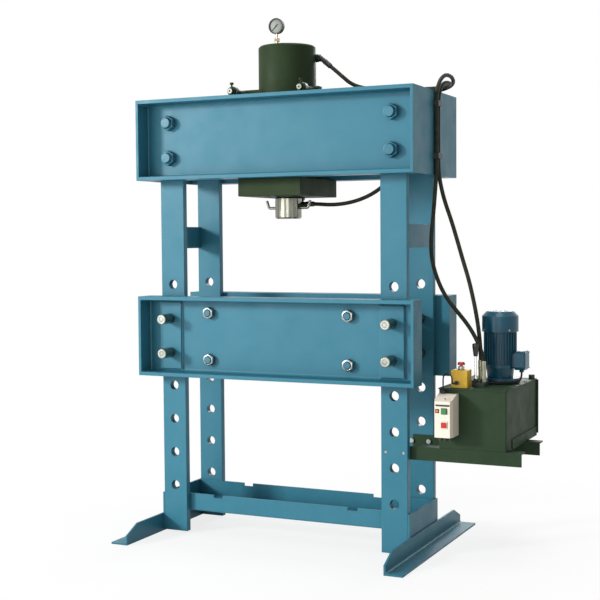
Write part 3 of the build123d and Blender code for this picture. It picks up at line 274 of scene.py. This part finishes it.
knob_black = plastic("knob_black", (0.012, 0.012, 0.012), rough=0.22, grain=0.03, edge=0.001)
cap_black = plastic("cap_black", (0.016, 0.016, 0.016), rough=0.5, grain=0.25, edge=0.0008)
gland_black = plastic("gland_black", (0.014, 0.014, 0.014), rough=0.48, grain=0.2, edge=0.0006)
yellow = plastic("stop_box_yellow", (0.80, 0.48, 0.012), rough=0.38, grain=0.15)
red = plastic("button_red", (0.60, 0.012, 0.010), rough=0.28, grain=0.03, edge=0.0008)
green = plastic("button_green", (0.02, 0.22, 0.06), rough=0.3, grain=0.03, edge=0.0006)
cream = plastic("starter_cream", (0.90, 0.80, 0.67), rough=0.42, grain=0.3, edge=0.0018, grime_and_corner_shade=0.04)
orange = plastic("lamp_orange", (0.85, 0.22, 0.02), rough=0.2, grain=0.0, edge=0.0005)
dial_paint = plastic("gauge_dial_paint", (0.27, 0.30, 0.26),
                     rough=0.5, grain=0.02, edge=0.0002, grime_and_corner_shade=0.02)
bezel_steel = steel("bezel_steel", (0.07, 0.08, 0.065),
                    rough=0.3, grain=(30, 30, 30), dark=0.6, edge=0.0006, oil=0.3)
hose_skin = rubber("hose_rubber", (0.014, 0.018, 0.010), rough=0.5)
cable_skin = rubber("cable_sheath", (0.010, 0.010, 0.010), rough=0.45)
clip_paint = enamel("clip_enamel", (0.02, 0.028, 0.022), (0.014, 0.02, 0.016), (0.04, 0.05, 0.04))

materials_of = {
    blue: """upright_front_left upright_front_right upright_back_left upright_back_right head_front_beam
        head_back_beam head_end_plates bed_front_beam bed_back_beam tie_plates base_side_plates base_tray
        foot_left foot_right""",
    bolt_blue: "head_bolts",
    zinc: "bed_tie_bolts arm_bolts",
    pin_metal: """lock_pin_left_lower lock_pin_left_upper lock_pin_right_lower lock_pin_right_upper
        nose_screw_left nose_screw_right""",
    olive: "cylinder_barrel cylinder_block",
    tank_green: "tank_body tank_lid bracket_arm_front bracket_arm_back bell_housing",
    motor_blue: "motor_frame fan_cover terminal_box",
    chrome: "ram_rod",
    nose_metal: "ram_nose",
    fitting_metal: "pack_fittings",
    roller_metal: "rollers_left rollers_right motor_rotor",
    brass: "gauge_stem",
    iron: "valve_block gear_pump cylinder_fittings",
    gauge_black: "gauge_case",
    pointer_black: "gauge_pointer",
    knob_black: "valve_lever",
    cap_black: "breather_cap",
    gland_black: "cable_glands",
    yellow: "estop_box",
    red: "estop_button stop_button",
    green: "start_button",
    cream: "starter_box",
    orange: "starter_lamp",
    clip_paint: "hose_clips",
}


def dress(piece, material):
    piece.data.materials.clear()
    piece.data.materials.append(material)


for material, names in materials_of.items():
    for name in names.split():
        dress(nodes[name], material)


# Hoses and cables

# Where the hoses leave their fittings
BARREL_PORT = (125, 40, 2081.4)
BLOCK_PORT = (16, 78, 1465.7)
LEFT_VALVE_PORT = (838, -1, 770)
RIGHT_VALVE_PORT = (858, -30, 770)


def cord(name, node, points, diameter, material):
    """A hose or cable on the frame, a smooth line that is drawn by its points and stands for its node."""
    data = bpy.data.curves.new(name, "CURVE")
    data.dimensions = "3D"
    data.bevel_depth = diameter / 2000
    data.bevel_resolution = 6
    data.resolution_u = 10
    data.use_fill_caps = True
    spline = data.splines.new("NURBS")
    spline.points.add(len(points) - 1)
    for point, place in zip(spline.points, points):
        point.co = (*spot(*place), 1)
    spline.order_u = 3
    spline.use_endpoint_u = True
    piece = bpy.data.objects.new(name, data)
    bpy.context.scene.collection.objects.link(piece)
    data.materials.append(material)
    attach(piece, "press_frame")
    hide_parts(node)


cord("hose_top_line", "hose_top", [
    BARREL_PORT, (168.9, 40, 2045), (202, 50, 2014), (238, 66, 1980), (286, 92, 1962),
    (346, 130, 1960), (400, 170, 1962), (446, 209, 1963), (504, 237, 1962), (564, 241, 1962),
    (618, 219, 1963), (652, 175, 1966), (662, 121, 1967), (657, 67.4, 1961.4), (655, 24, 1931),
    (654.5, 2, 1884), (654.5, 2, 1815), (654.5, 1, 1757), (654.5, 2, 1702), (654.5, 2, 1592),
    (664.5, 2, 1530), (682.5, 1, 1462), (710.5, 1, 1385), (736.5, 0, 1302), (760.5, 0, 1220),
    (786.5, 0, 1138), (806.5, -1, 1055), (822.5, -1, 975), (832.5, -1, 900), (838, -1, 832),
    LEFT_VALVE_PORT,
], 17, hose_skin)

cord("hose_bottom_line", "hose_bottom", [
    BLOCK_PORT, (64, 78, 1465.7), (132, 73, 1459.7), (208, 62, 1463.7), (283, 50, 1478.7),
    (355, 38, 1506.7), (417, 29, 1548.7), (463.5, 27, 1606.7), (478.5, 34, 1670), (478.5, 48, 1740),
    (474.5, 66, 1812), (468.5, 92, 1870), (462.5, 132, 1914), (458.5, 184, 1936), (482.5, 236, 1943),
    (530.5, 268, 1950), (588.5, 268, 1958), (636.5, 238, 1968), (662.5, 187, 1982), (668.5, 128, 1996),
    (662.5, 66, 1995), (656.5, 10.5, 1963), (654.5, -22, 1907), (654.5, -22, 1815), (654.5, -23, 1757),
    (654.5, -22, 1702), (654.5, -22, 1592), (650.5, -23, 1528), (644.5, -25, 1443), (637.5, -26, 1371),
    (631.5, -26, 1299), (633.5, -26, 1222), (658.5, -26, 1138), (694.5, -27, 1068), (744.5, -28, 1008),
    (789.5, -29, 956), (824.5, -30, 902), (848.5, -30, 848), (858, -30, 812), RIGHT_VALVE_PORT,
], 17, hose_skin)

cord("estop_cable_line", "estop_cable", [
    (772, -130.8, 722), (772, -170, 722), (772, -182, 734), (772, -182, 752), (761.5, -176.7, 763.8),
    (739.6, -169.3, 763.8), (729, -164, 752), (728.5, -164, 720), (729, -164, 692.8),
], 6, cable_skin)

cord("motor_cable_line", "motor_cable", [
    (975, 130, 748.2), (975, 130, 728), (968.5, 117, 711), (964, 92, 706.5), (939.5, 60, 708),
    (904, 41, 708.5), (862, 36, 708), (826, 32, 709.5), (802, 14, 714), (790, -4, 718), (782, -24, 724),
    (782, -49.2, 724),
], 8, cable_skin)


# Fasteners, fittings and welds: each form is made on the Z axis and then copied to its places. Sizes in mm.

def begin(kind, **size):
    """Adds a primitive with nothing else selected."""
    bpy.ops.object.select_all(action="DESELECT")
    getattr(bpy.ops.mesh, "primitive_" + kind + "_add")(**size)
    return bpy.context.object


def turned(outline, sides=40, hollow=False):
    """A round form: a disc, or a ring where it is hollow, extruded and scaled along its outline."""
    (radius, height), *steps = outline
    form = begin("circle", vertices=sides, radius=radius / 1000, fill_type="NOTHING" if hollow else "NGON")
    bpy.ops.object.mode_set(mode="EDIT")
    bpy.ops.mesh.select_all(action="SELECT")
    bpy.ops.transform.translate(value=(0, 0, height / 1000))
    if hollow:
        steps.append(outline[0])
    for next_radius, next_height in steps:
        rise = (0, 0, (next_height - height) / 1000)
        bpy.ops.mesh.extrude_region_move(TRANSFORM_OT_translate={"value": rise})
        ratio = next_radius / radius
        bpy.ops.transform.resize(value=(ratio, ratio, 1), center_override=(0, 0, next_height / 1000))
        radius, height = next_radius, next_height
    bpy.ops.mesh.select_all(action="SELECT")
    bpy.ops.mesh.remove_doubles(threshold=0.00001)
    bpy.ops.mesh.normals_make_consistent(inside=False)
    bpy.ops.object.mode_set(mode="OBJECT")
    return form


def apply_modifier(form, kind, **values):
    """Adds a modifier to a form and applies it at once."""
    bpy.context.view_layer.objects.active = form
    modifier = form.modifiers.new(kind.lower(), kind)
    for key, value in values.items():
        setattr(modifier, key, value)
    bpy.ops.object.modifier_apply(modifier=modifier.name)


# A nut's chamfer rises 1 mm for every 1.73 mm inwards, an angle of 30 degrees
CHAMFER_SLOPE = 1.73


def nut(flats, bore, low, high):
    """A hexagon nut: its corners are turned off at both ends, and its bore is countersunk."""
    half = (high - low) / 2000
    corner = flats / math.sqrt(3)
    hexagon = begin("cylinder", vertices=6, radius=corner / 1000, depth=2 * half,
                    location=(0, 0, low / 1000 + half))
    bpy.ops.object.transform_apply(location=True)
    small = flats * 0.475 - CHAMFER_SLOPE
    wide = corner + 0.5
    slope = (wide - small) / CHAMFER_SLOPE - 1
    turning = turned([(small, low - 1), (wide, low + slope), (wide, high - slope), (small, high + 1)], 48)
    apply_modifier(hexagon, "BOOLEAN", operation="INTERSECT", object=turning)
    sunk = bore + 3.5
    clear = bore + 0.4
    drill = turned([(sunk, low - 0.5), (clear, low + 2.6), (clear, high - 2.6), (sunk, high + 0.5)])
    apply_modifier(hexagon, "BOOLEAN", operation="DIFFERENCE", object=drill)
    bpy.data.objects.remove(turning)
    bpy.data.objects.remove(drill)
    return hexagon


def thread(radius, low, high, pitch=3.0):
    """Outline steps of a threaded length, a crest and a root to each turn."""
    turns = int((high - low) / pitch)
    steps = []
    for turn in range(turns):
        steps += [(radius, low + turn * pitch), (radius - pitch * 0.4, low + (turn + 0.5) * pitch)]
    return steps + [(radius, low + turns * pitch)]


def block(size, at, round_edge=1.0):
    """A bevelled block, its size and centre in mm, at its place on the press."""
    form = begin("cube", size=1, location=spot(*at))
    form.scale = [length / 1000 for length in size]
    bpy.ops.object.transform_apply(location=True, scale=True)
    bpy.ops.object.mode_set(mode="EDIT")
    bpy.ops.mesh.select_all(action="SELECT")
    bpy.ops.mesh.bevel(offset=round_edge / 1000, segments=3, affect="EDGES")
    bpy.ops.object.mode_set(mode="OBJECT")
    return form


def merged(forms):
    """Joins forms into the first of them."""
    bpy.ops.object.select_all(action="DESELECT")
    for form in forms:
        form.select_set(True)
    bpy.context.view_layer.objects.active = forms[0]
    if len(forms) > 1:
        bpy.ops.object.join()
    return forms[0]


def facing_turn(direction):
    """The turn that points a form's Z axis in a direction."""
    return Vector(direction).to_track_quat("Z", "Y").to_matrix().to_4x4()


def copies(form, places):
    """Copies a form to each place, a point and the direction that its Z axis faces, and takes it away."""
    made = []
    for at, facing in places:
        twin = form.copy()
        twin.data = form.data.copy()
        bpy.context.scene.collection.objects.link(twin)
        twin.matrix_world = Matrix.Translation(spot(*at)) @ facing_turn(facing)
        made.append(twin)
    bpy.data.objects.remove(form)
    return made


def fit(name, forms, material, body, *replaced):
    """Joins forms to one finished piece that rides on a body."""
    piece = merged(forms)
    bpy.ops.object.transform_apply(location=True, rotation=True, scale=True)
    piece.name = name
    dress(piece, material)
    bpy.ops.object.shade_smooth_by_angle(angle=math.radians(35))
    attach(piece, body)
    if replaced:
        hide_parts(*replaced)


FRONT = (0, -1, 0)
BACK = (0, 1, 0)
UP = (0, 0, 1)
TO_RIGHT = (1, 0, 0)
WEB_FACE = 194
BOLT_X = 523
HEAD_BOLT_HEIGHTS = (1670.5, 1823.5)
TIE_BOLT_X = 330
TIE_BOLT_HEIGHTS = (785.5, 990.5)
WEBS = ((FRONT, -WEB_FACE), (BACK, WEB_FACE))

# Head studs: a nut inside the upright and one on the web
stud = turned([(20, -71), (22, -69), (22, 24)] + thread(22, 26, 38) + [(19.8, 40)])
head_stud = merged([stud, nut(58, 22, 0, 27), nut(58, 22, -71, -44)])
head_points = [(x, z) for x in (-BOLT_X, BOLT_X) for z in HEAD_BOLT_HEIGHTS]
head_places = [((x, y, z), facing) for x, z in head_points for facing, y in WEBS]
fit("head_studs", copies(head_stud, head_places), bolt_blue, "press_frame", "head_bolts")

# Bed tie bolts: painted studs and spacers, plated nuts
tie_points = [(x, z) for x in (-TIE_BOLT_X, TIE_BOLT_X) for z in TIE_BOLT_HEIGHTS]
tie_stud = turned([(13.5, -415), (15, -413.5), (15, -380), (24, -374), (24, -14), (15, -13.5), (15, 22)]
                  + thread(15, 22, 25, 1.5) + [(13.2, 27)])
tie_stud_places = [((x, -WEB_FACE, z), FRONT) for x, z in tie_points]
fit("tie_studs", copies(tie_stud, tie_stud_places), bolt_blue, "press_frame", "bed_tie_bolts")
tie_nut_places = [((x, y, z), facing) for x, z in tie_points for facing, y in WEBS]
fit("tie_nuts", copies(nut(46, 15, 0, 24), tie_nut_places), zinc, "press_frame")

# Lock pins: a turned step and a centre drilling on each front end
pin_end = turned([(17, -0.5), (17, 0.3), (13.5, 0.3), (13.5, -0.2), (5, -0.2), (3.4, 0.25), (2.8, 0.25),
                  (0.6, -0.3)], 36)
PIN_FRONT = -286
LOWER_PIN = 813
UPPER_PIN = 963
pins = {
    "left_lower": (-BOLT_X, PIN_FRONT, LOWER_PIN),
    "left_upper": (-BOLT_X, PIN_FRONT, UPPER_PIN),
    "right_lower": (BOLT_X, PIN_FRONT, LOWER_PIN),
    "right_upper": (BOLT_X, PIN_FRONT, UPPER_PIN),
}
for pin, end in zip(pins, copies(pin_end, [(place, FRONT) for place in pins.values()])):
    fit("pin_end_" + pin, [end], zinc, "lock_pin_" + pin)

# Gauge: pale dial with its scale, and a rolled bezel
GAUGE_X = -37
GAUGE_HEIGHT = 2224
DIAL_FACE = -110
MARKS = 41
SCALE_START = 225
SCALE_SWEEP = 270
MARK_CIRCLE = 28.4
MARK_DEPTH = 0.4
dial_place = [((GAUGE_X, DIAL_FACE, GAUGE_HEIGHT), FRONT)]
dial = turned([(30.5, -0.5), (30.5, 0.2), (30.2, 0.4)], 56)
fit("gauge_dial", copies(dial, dial_place), dial_paint, "cylinder")
marks = []
for step in range(MARKS):
    angle = math.radians(SCALE_START - step * SCALE_SWEEP / (MARKS - 1))
    long_mark = step % 5 == 0
    reach = 5.6 if long_mark else 3.2
    width = 1.1 if long_mark else 0.6
    middle = MARK_CIRCLE - reach / 2
    mark = begin("cube", size=1)
    mark.scale = (reach / 1000, MARK_DEPTH / 1000, width / 1000)
    mark.rotation_euler = (0, -angle, 0)
    across = middle * math.cos(angle)
    upward = middle * math.sin(angle)
    mark.location = spot(GAUGE_X + across, DIAL_FACE - 0.5, GAUGE_HEIGHT + upward)
    marks.append(mark)
fit("gauge_marks", marks, pointer_black, "cylinder")
bezel = turned([(30.4, -0.5), (30.4, 3.2), (32, 3.9), (33.4, 3.2), (33.9, 1), (33.9, -3.6)], 56, True)
fit("gauge_bezel", copies(bezel, dial_place), bezel_steel, "cylinder")

# Valve lever: plated rod with a hub on its pin, and a black knob that widens to its top
LEVER_AXIS = (832, -55, 0)
lever_place = [(LEVER_AXIS, UP)]
rod = turned([(5, 720.3), (6.5, 722), (6.5, 737), (4.5, 741), (4.5, 830)], 24)
fit("lever_rod", copies(rod, lever_place), chrome, "valve_lever", "valve_lever")
knob = turned([(7, 827), (8.5, 828.3), (10, 838), (12.6, 858), (14, 872), (13.6, 876), (11.5, 879),
               (7, 880.3)], 32)
fit("lever_knob", copies(knob, lever_place), knob_black, "valve_lever")

# Emergency stop: plated collar and cover screws
STOP_X = 782
STOP_Y = -90
STOP_BOX_TOP = 774
collar = turned([(12.6, 774), (14.5, 774.5), (14.5, 777), (12.7, 778), (12.7, 786.5), (12, 788.2),
                 (7.5, 788.2), (7.5, 774)], 36, True)
fit("stop_collar", copies(collar, [((STOP_X, STOP_Y, 0), UP)]), zinc, "press_frame")
screw = turned([(2.6, -0.5), (2.6, 0.6), (1.9, 1.3)], 14)
stop_screws = [((STOP_X + x, STOP_Y + y, STOP_BOX_TOP), UP) for x in (-29, 29) for y in (-24, 24)]
fit("stop_screws", copies(screw, stop_screws), zinc, "press_frame")

# Starter: frames of the keys and the lamp, a dark strip over them, the cover's screw
PANEL = -244
KEY_X = 758.5
LAMP_X = 730
STOP_KEY_HEIGHT = 566
START_KEY_HEIGHT = 621


def key_frame(x, z, width, proud):
    """A bevelled square on the starter's front, round a key or the lamp."""
    return block((width, proud, width), (x, PANEL - proud / 2, z), 0.6)


fit("stop_key_frame", [key_frame(KEY_X, STOP_KEY_HEIGHT, 29, 3)], cream, "press_frame")
dark_frames = [key_frame(KEY_X, START_KEY_HEIGHT, 25, 1.6), key_frame(LAMP_X, START_KEY_HEIGHT, 16, 1.6)]
fit("key_frames", dark_frames, cap_black, "press_frame")
fit("starter_strip", [block((58, 1.4, 7), (752, PANEL - 0.5, 644), 0.4)], cap_black, "press_frame")
starter_screw = turned([(4, -1), (4, 1.2), (3, 1.8), (1.4, 1.8), (1.4, 0.6)], 18)
fit("starter_screw", copies(starter_screw, [((760, -233, 671), (0, -0.7, 0.7))]), zinc, "press_frame")

# Hose ends: crimped sleeves over the hoses
VALVE_ENDS = [(RIGHT_VALVE_PORT, UP), (LEFT_VALVE_PORT, UP)]
CYLINDER_ENDS = [(BARREL_PORT, (0.77, 0, -0.638)), (BLOCK_PORT, TO_RIGHT)]
CRIMPS = 5
CRIMP_PITCH = 5
sleeve = [(9.5, 0), (12, 0.8), (12, 6), (10.8, 7)]
for crimp in range(CRIMPS):
    rise = crimp * CRIMP_PITCH
    sleeve += [(10.8, 9 + rise), (11.5, 10 + rise), (11.5, 12 + rise), (10.8, 13 + rise)]
sleeve += [(10.4, 36), (8.6, 37)]
fit("sleeves_pack", copies(turned(sleeve, 28), VALVE_ENDS), fitting_metal, "press_frame")
fit("sleeves_cylinder", copies(turned(sleeve, 28), CYLINDER_ENDS), cap_black, "cylinder")

# Bright ends of the axle hubs
COLLAR_FACE = 220.3
AXLE_HEIGHT = 1944.3
AXLES_X = (-200, 126)
hub_cap = turned([(12.2, 2), (12.2, 11), (10.8, 12.4), (4, 12.4), (2.5, 11)], 28)
hub_places = [((x, y * COLLAR_FACE, AXLE_HEIGHT), (0, y, 0)) for x in AXLES_X for y in (-1, 1)]
fit("hub_caps", copies(hub_cap, hub_places), pin_metal, "cylinder")

# Screws of the motor's fan cover, the tank's lid and the terminal box
MOTOR_X = 883
MOTOR_Y = 130
COVER_SCREW_CIRCLE = 75.5
COVER_SCREW_HEIGHT = 926
cap_screw = turned([(4.2, -1), (4.2, 2.2), (3.4, 3.2), (2, 3.4)], 20)
cover_screws = []
for turn in (45, 135, 225, 315):
    across = math.cos(math.radians(turn))
    inward = math.sin(math.radians(turn))
    x = MOTOR_X + COVER_SCREW_CIRCLE * across
    y = MOTOR_Y + COVER_SCREW_CIRCLE * inward
    cover_screws.append(((x, y, COVER_SCREW_HEIGHT), (across, inward, 0)))
fit("fan_cover_screws", copies(cap_screw, cover_screws), zinc, "press_frame")

LID_SCREWS_X = (715, 977)
LID_SCREWS_Y = (-139, 20, 180, 323)
LID_MIDDLE_X = 846
lid_screw = turned([(6, 701), (6.6, 702.3), (6.6, 703.6), (5, 705.4), (2.5, 706)], 20)
lid_points = [(x, y) for x in LID_SCREWS_X for y in LID_SCREWS_Y]
lid_points += [(LID_MIDDLE_X, y) for y in (LID_SCREWS_Y[0], LID_SCREWS_Y[-1])]
lid_places = [((x, y, 0), UP) for x, y in lid_points]
fit("tank_lid_screws", copies(lid_screw, lid_places), clip_paint, "press_frame")

TERMINAL_FACE = 999
TERMINAL_Y = 130
TERMINAL_HEIGHT = 799
terminal_screw = turned([(3, -1), (3, 1.2), (2, 2)], 16)
terminal_points = [(TERMINAL_Y + y, TERMINAL_HEIGHT + z) for y in (-31, 31) for z in (-33, 33)]
terminal_places = [((TERMINAL_FACE, y, z), TO_RIGHT) for y, z in terminal_points]
fit("terminal_screws", copies(terminal_screw, terminal_places), zinc, "press_frame")

# The ripples of a weld bead: how far apart in parts of its size, how long in steps, and how thin at the tip
RIPPLE_STEP = 1.25
RIPPLE_LENGTH = 1.9
RIPPLE_TIP = 0.62


def bead(start, end, size=6.0):
    """A weld bead between two points: one ripple, repeated along the seam."""
    start, end = spot(*start), spot(*end)
    step = size * RIPPLE_STEP / 1000
    ripple = begin("cone", vertices=8, radius1=size / 1000, radius2=size * RIPPLE_TIP / 1000,
                   depth=step * RIPPLE_LENGTH)
    count = max(2, int((end - start).length / step))
    apply_modifier(ripple, "ARRAY", count=count, use_relative_offset=False, use_constant_offset=True,
                   constant_offset_displace=(0, 0, step))
    ripple.matrix_world = Matrix.Translation(start) @ facing_turn(end - start)
    return ripple


END_X = 632
FLANGE_EDGE = 277
HEAD_INSIDE = (1588, 1906)
BED_INSIDE = (729, 1047)
DOUBLER_HALF_WIDTH = 53
DOUBLER_HEIGHTS = (741, 1035)
beads = []
for side in (-1, 1):
    for face in (-WEB_FACE, WEB_FACE):
        end = side * END_X
        edge = math.copysign(FLANGE_EDGE, face)
        for low, high in (HEAD_INSIDE, BED_INSIDE):
            beads.append(bead((end, face, low + 4), (end, face, high - 4)))
            beads += [bead((end, face, z), (end, edge, z), 5) for z in (low, high)]
        low, high = DOUBLER_HEIGHTS
        left = side * BOLT_X - DOUBLER_HALF_WIDTH
        right = side * BOLT_X + DOUBLER_HALF_WIDTH
        beads += [bead((x, face, low), (x, face, high)) for x in (left, right)]
        beads += [bead((left, face, z), (right, face, z)) for z in (low, high)]
fit("frame_welds", beads, weld_blue, "press_frame")


# Floor, light and camera

scene = bpy.context.scene
WHITE = (1, 1, 1, 1)
floor = begin("plane", size=40)
floor.name = "studio_floor"
floor_paint = Finish("studio_floor_paint")
floor_paint.done((0.62, 0.62, 0.62), floor_paint.spread(floor_paint.noise(2), 0.3, 0.7, 0.75, 0.8))
dress(floor, floor_paint.material)


def background_rays(tree):
    """One for a ray from the camera, from a glossy surface or through glass, and nothing for any other."""
    rays = tree.nodes.new("ShaderNodeLightPath")
    value = rays.outputs["Is Camera Ray"]
    for kind in ("Is Glossy Ray", "Is Transmission Ray"):
        either = tree.nodes.new("ShaderNodeMath")
        either.operation = "MAXIMUM"
        tree.links.new(value, either.inputs[0])
        tree.links.new(rays.outputs[kind], either.inputs[1])
        value = either.outputs["Value"]
    return value


def mixed(tree, factor, first, second):
    """The first shader where the factor is nothing, and the second where it is one."""
    made = tree.nodes.new("ShaderNodeMixShader")
    for socket, source in zip(made.inputs, (factor, first, second)):
        tree.links.new(source, socket)
    return made.outputs["Shader"]


# The floor is white to the camera far from the press, and keeps the press's shadow near it
FADE_START = 0.7
FADE_END = 1.9
floor_tree = floor_paint.tree
pale = floor_tree.nodes.new("ShaderNodeBsdfDiffuse")
pale.inputs["Color"].default_value = WHITE
glow = floor_tree.nodes.new("ShaderNodeEmission")
glow.inputs["Strength"].default_value = 1.0
from_press = floor_paint.node("VectorMath", operation="LENGTH")
floor_paint.link(floor_paint.place, from_press.inputs[0])
whiteness = floor_paint.spread(from_press.outputs["Value"], FADE_START, FADE_END, 0.8, 1.0)
shown = mixed(floor_tree, whiteness, pale.outputs["BSDF"], glow.outputs["Emission"])
lit = floor_paint.shader.outputs["BSDF"]
floor_paint.link(mixed(floor_tree, background_rays(floor_tree), lit, shown),
                 floor_tree.nodes["Material Output"].inputs["Surface"])

world = bpy.data.worlds.new("studio")
scene.world = world
world.use_nodes = True
sky = world.node_tree
room = sky.nodes["Background"]
room.inputs["Color"].default_value = WHITE
room.inputs["Strength"].default_value = 0.30
white = sky.nodes.new("ShaderNodeBackground")
white.inputs["Color"].default_value = WHITE
white.inputs["Strength"].default_value = 1.0
sky.links.new(mixed(sky, background_rays(sky), room.outputs["Background"], white.outputs["Background"]),
              sky.nodes["World Output"].inputs["Surface"])


def softbox(name, place, aim, size, power):
    """A rectangular lamp at a place, aimed at a point, in metres and watts."""
    data = bpy.data.lights.new(name, "AREA")
    data.shape = "RECTANGLE"
    data.size, data.size_y = size
    data.energy = power
    lamp = bpy.data.objects.new(name, data)
    scene.collection.objects.link(lamp)
    lamp.location = place
    lamp.rotation_mode = "QUATERNION"
    lamp.rotation_quaternion = (Vector(aim) - Vector(place)).to_track_quat("-Z", "Y")


softbox("key_light", (-6.0, -6.2, 3.3), (0, -0.2, 1.1), (1.4, 1.4), 570)
softbox("sheen_light", (-3.3, -6.6, 1.2), (0, -0.2, 1.1), (3.4, 3.0), 140)
softbox("front_light", (1.6, -6.6, 1.8), (0, 0, 1.1), (2.6, 2.6), 60)
softbox("back_light", (-0.3, 6.9, 3.8), (0, 0, 1.1), (2.2, 2.2), 170)
softbox("top_light", (0, 0.3, 5.0), (0, 0, 1.0), (2, 2), 70)

AZIMUTH, ELEVATION, ROLL = map(math.radians, (24.994, 2.89, -0.419))
FRAME_PIXELS = 600
FOCAL_PIXELS = 1225.0
SENSOR = 36
CAMERA_PLACE = (2291.5, -4881.8, 1314.7)
level = math.cos(ELEVATION)
forward = Vector((-math.sin(AZIMUTH) * level, math.cos(AZIMUTH) * level, -math.sin(ELEVATION)))
level_right = Vector((math.cos(AZIMUTH), math.sin(AZIMUTH), 0))
level_up = level_right.cross(forward)
view_right = level_right * math.cos(ROLL) + level_up * math.sin(ROLL)
view_up = level_up * math.cos(ROLL) - level_right * math.sin(ROLL)
view_turn = Matrix((view_right, view_up, -forward)).transposed().to_4x4()
camera_data = bpy.data.cameras.new("photo_camera")
camera_data.sensor_width = SENSOR
camera_data.lens = FOCAL_PIXELS / FRAME_PIXELS * SENSOR
camera_data.clip_end = 60
camera = bpy.data.objects.new("photo_camera", camera_data)
scene.collection.objects.link(camera)
camera.matrix_world = Matrix.Translation(spot(*CAMERA_PLACE)) @ view_turn
scene.camera = camera
scene.view_settings.view_transform = "Standard"
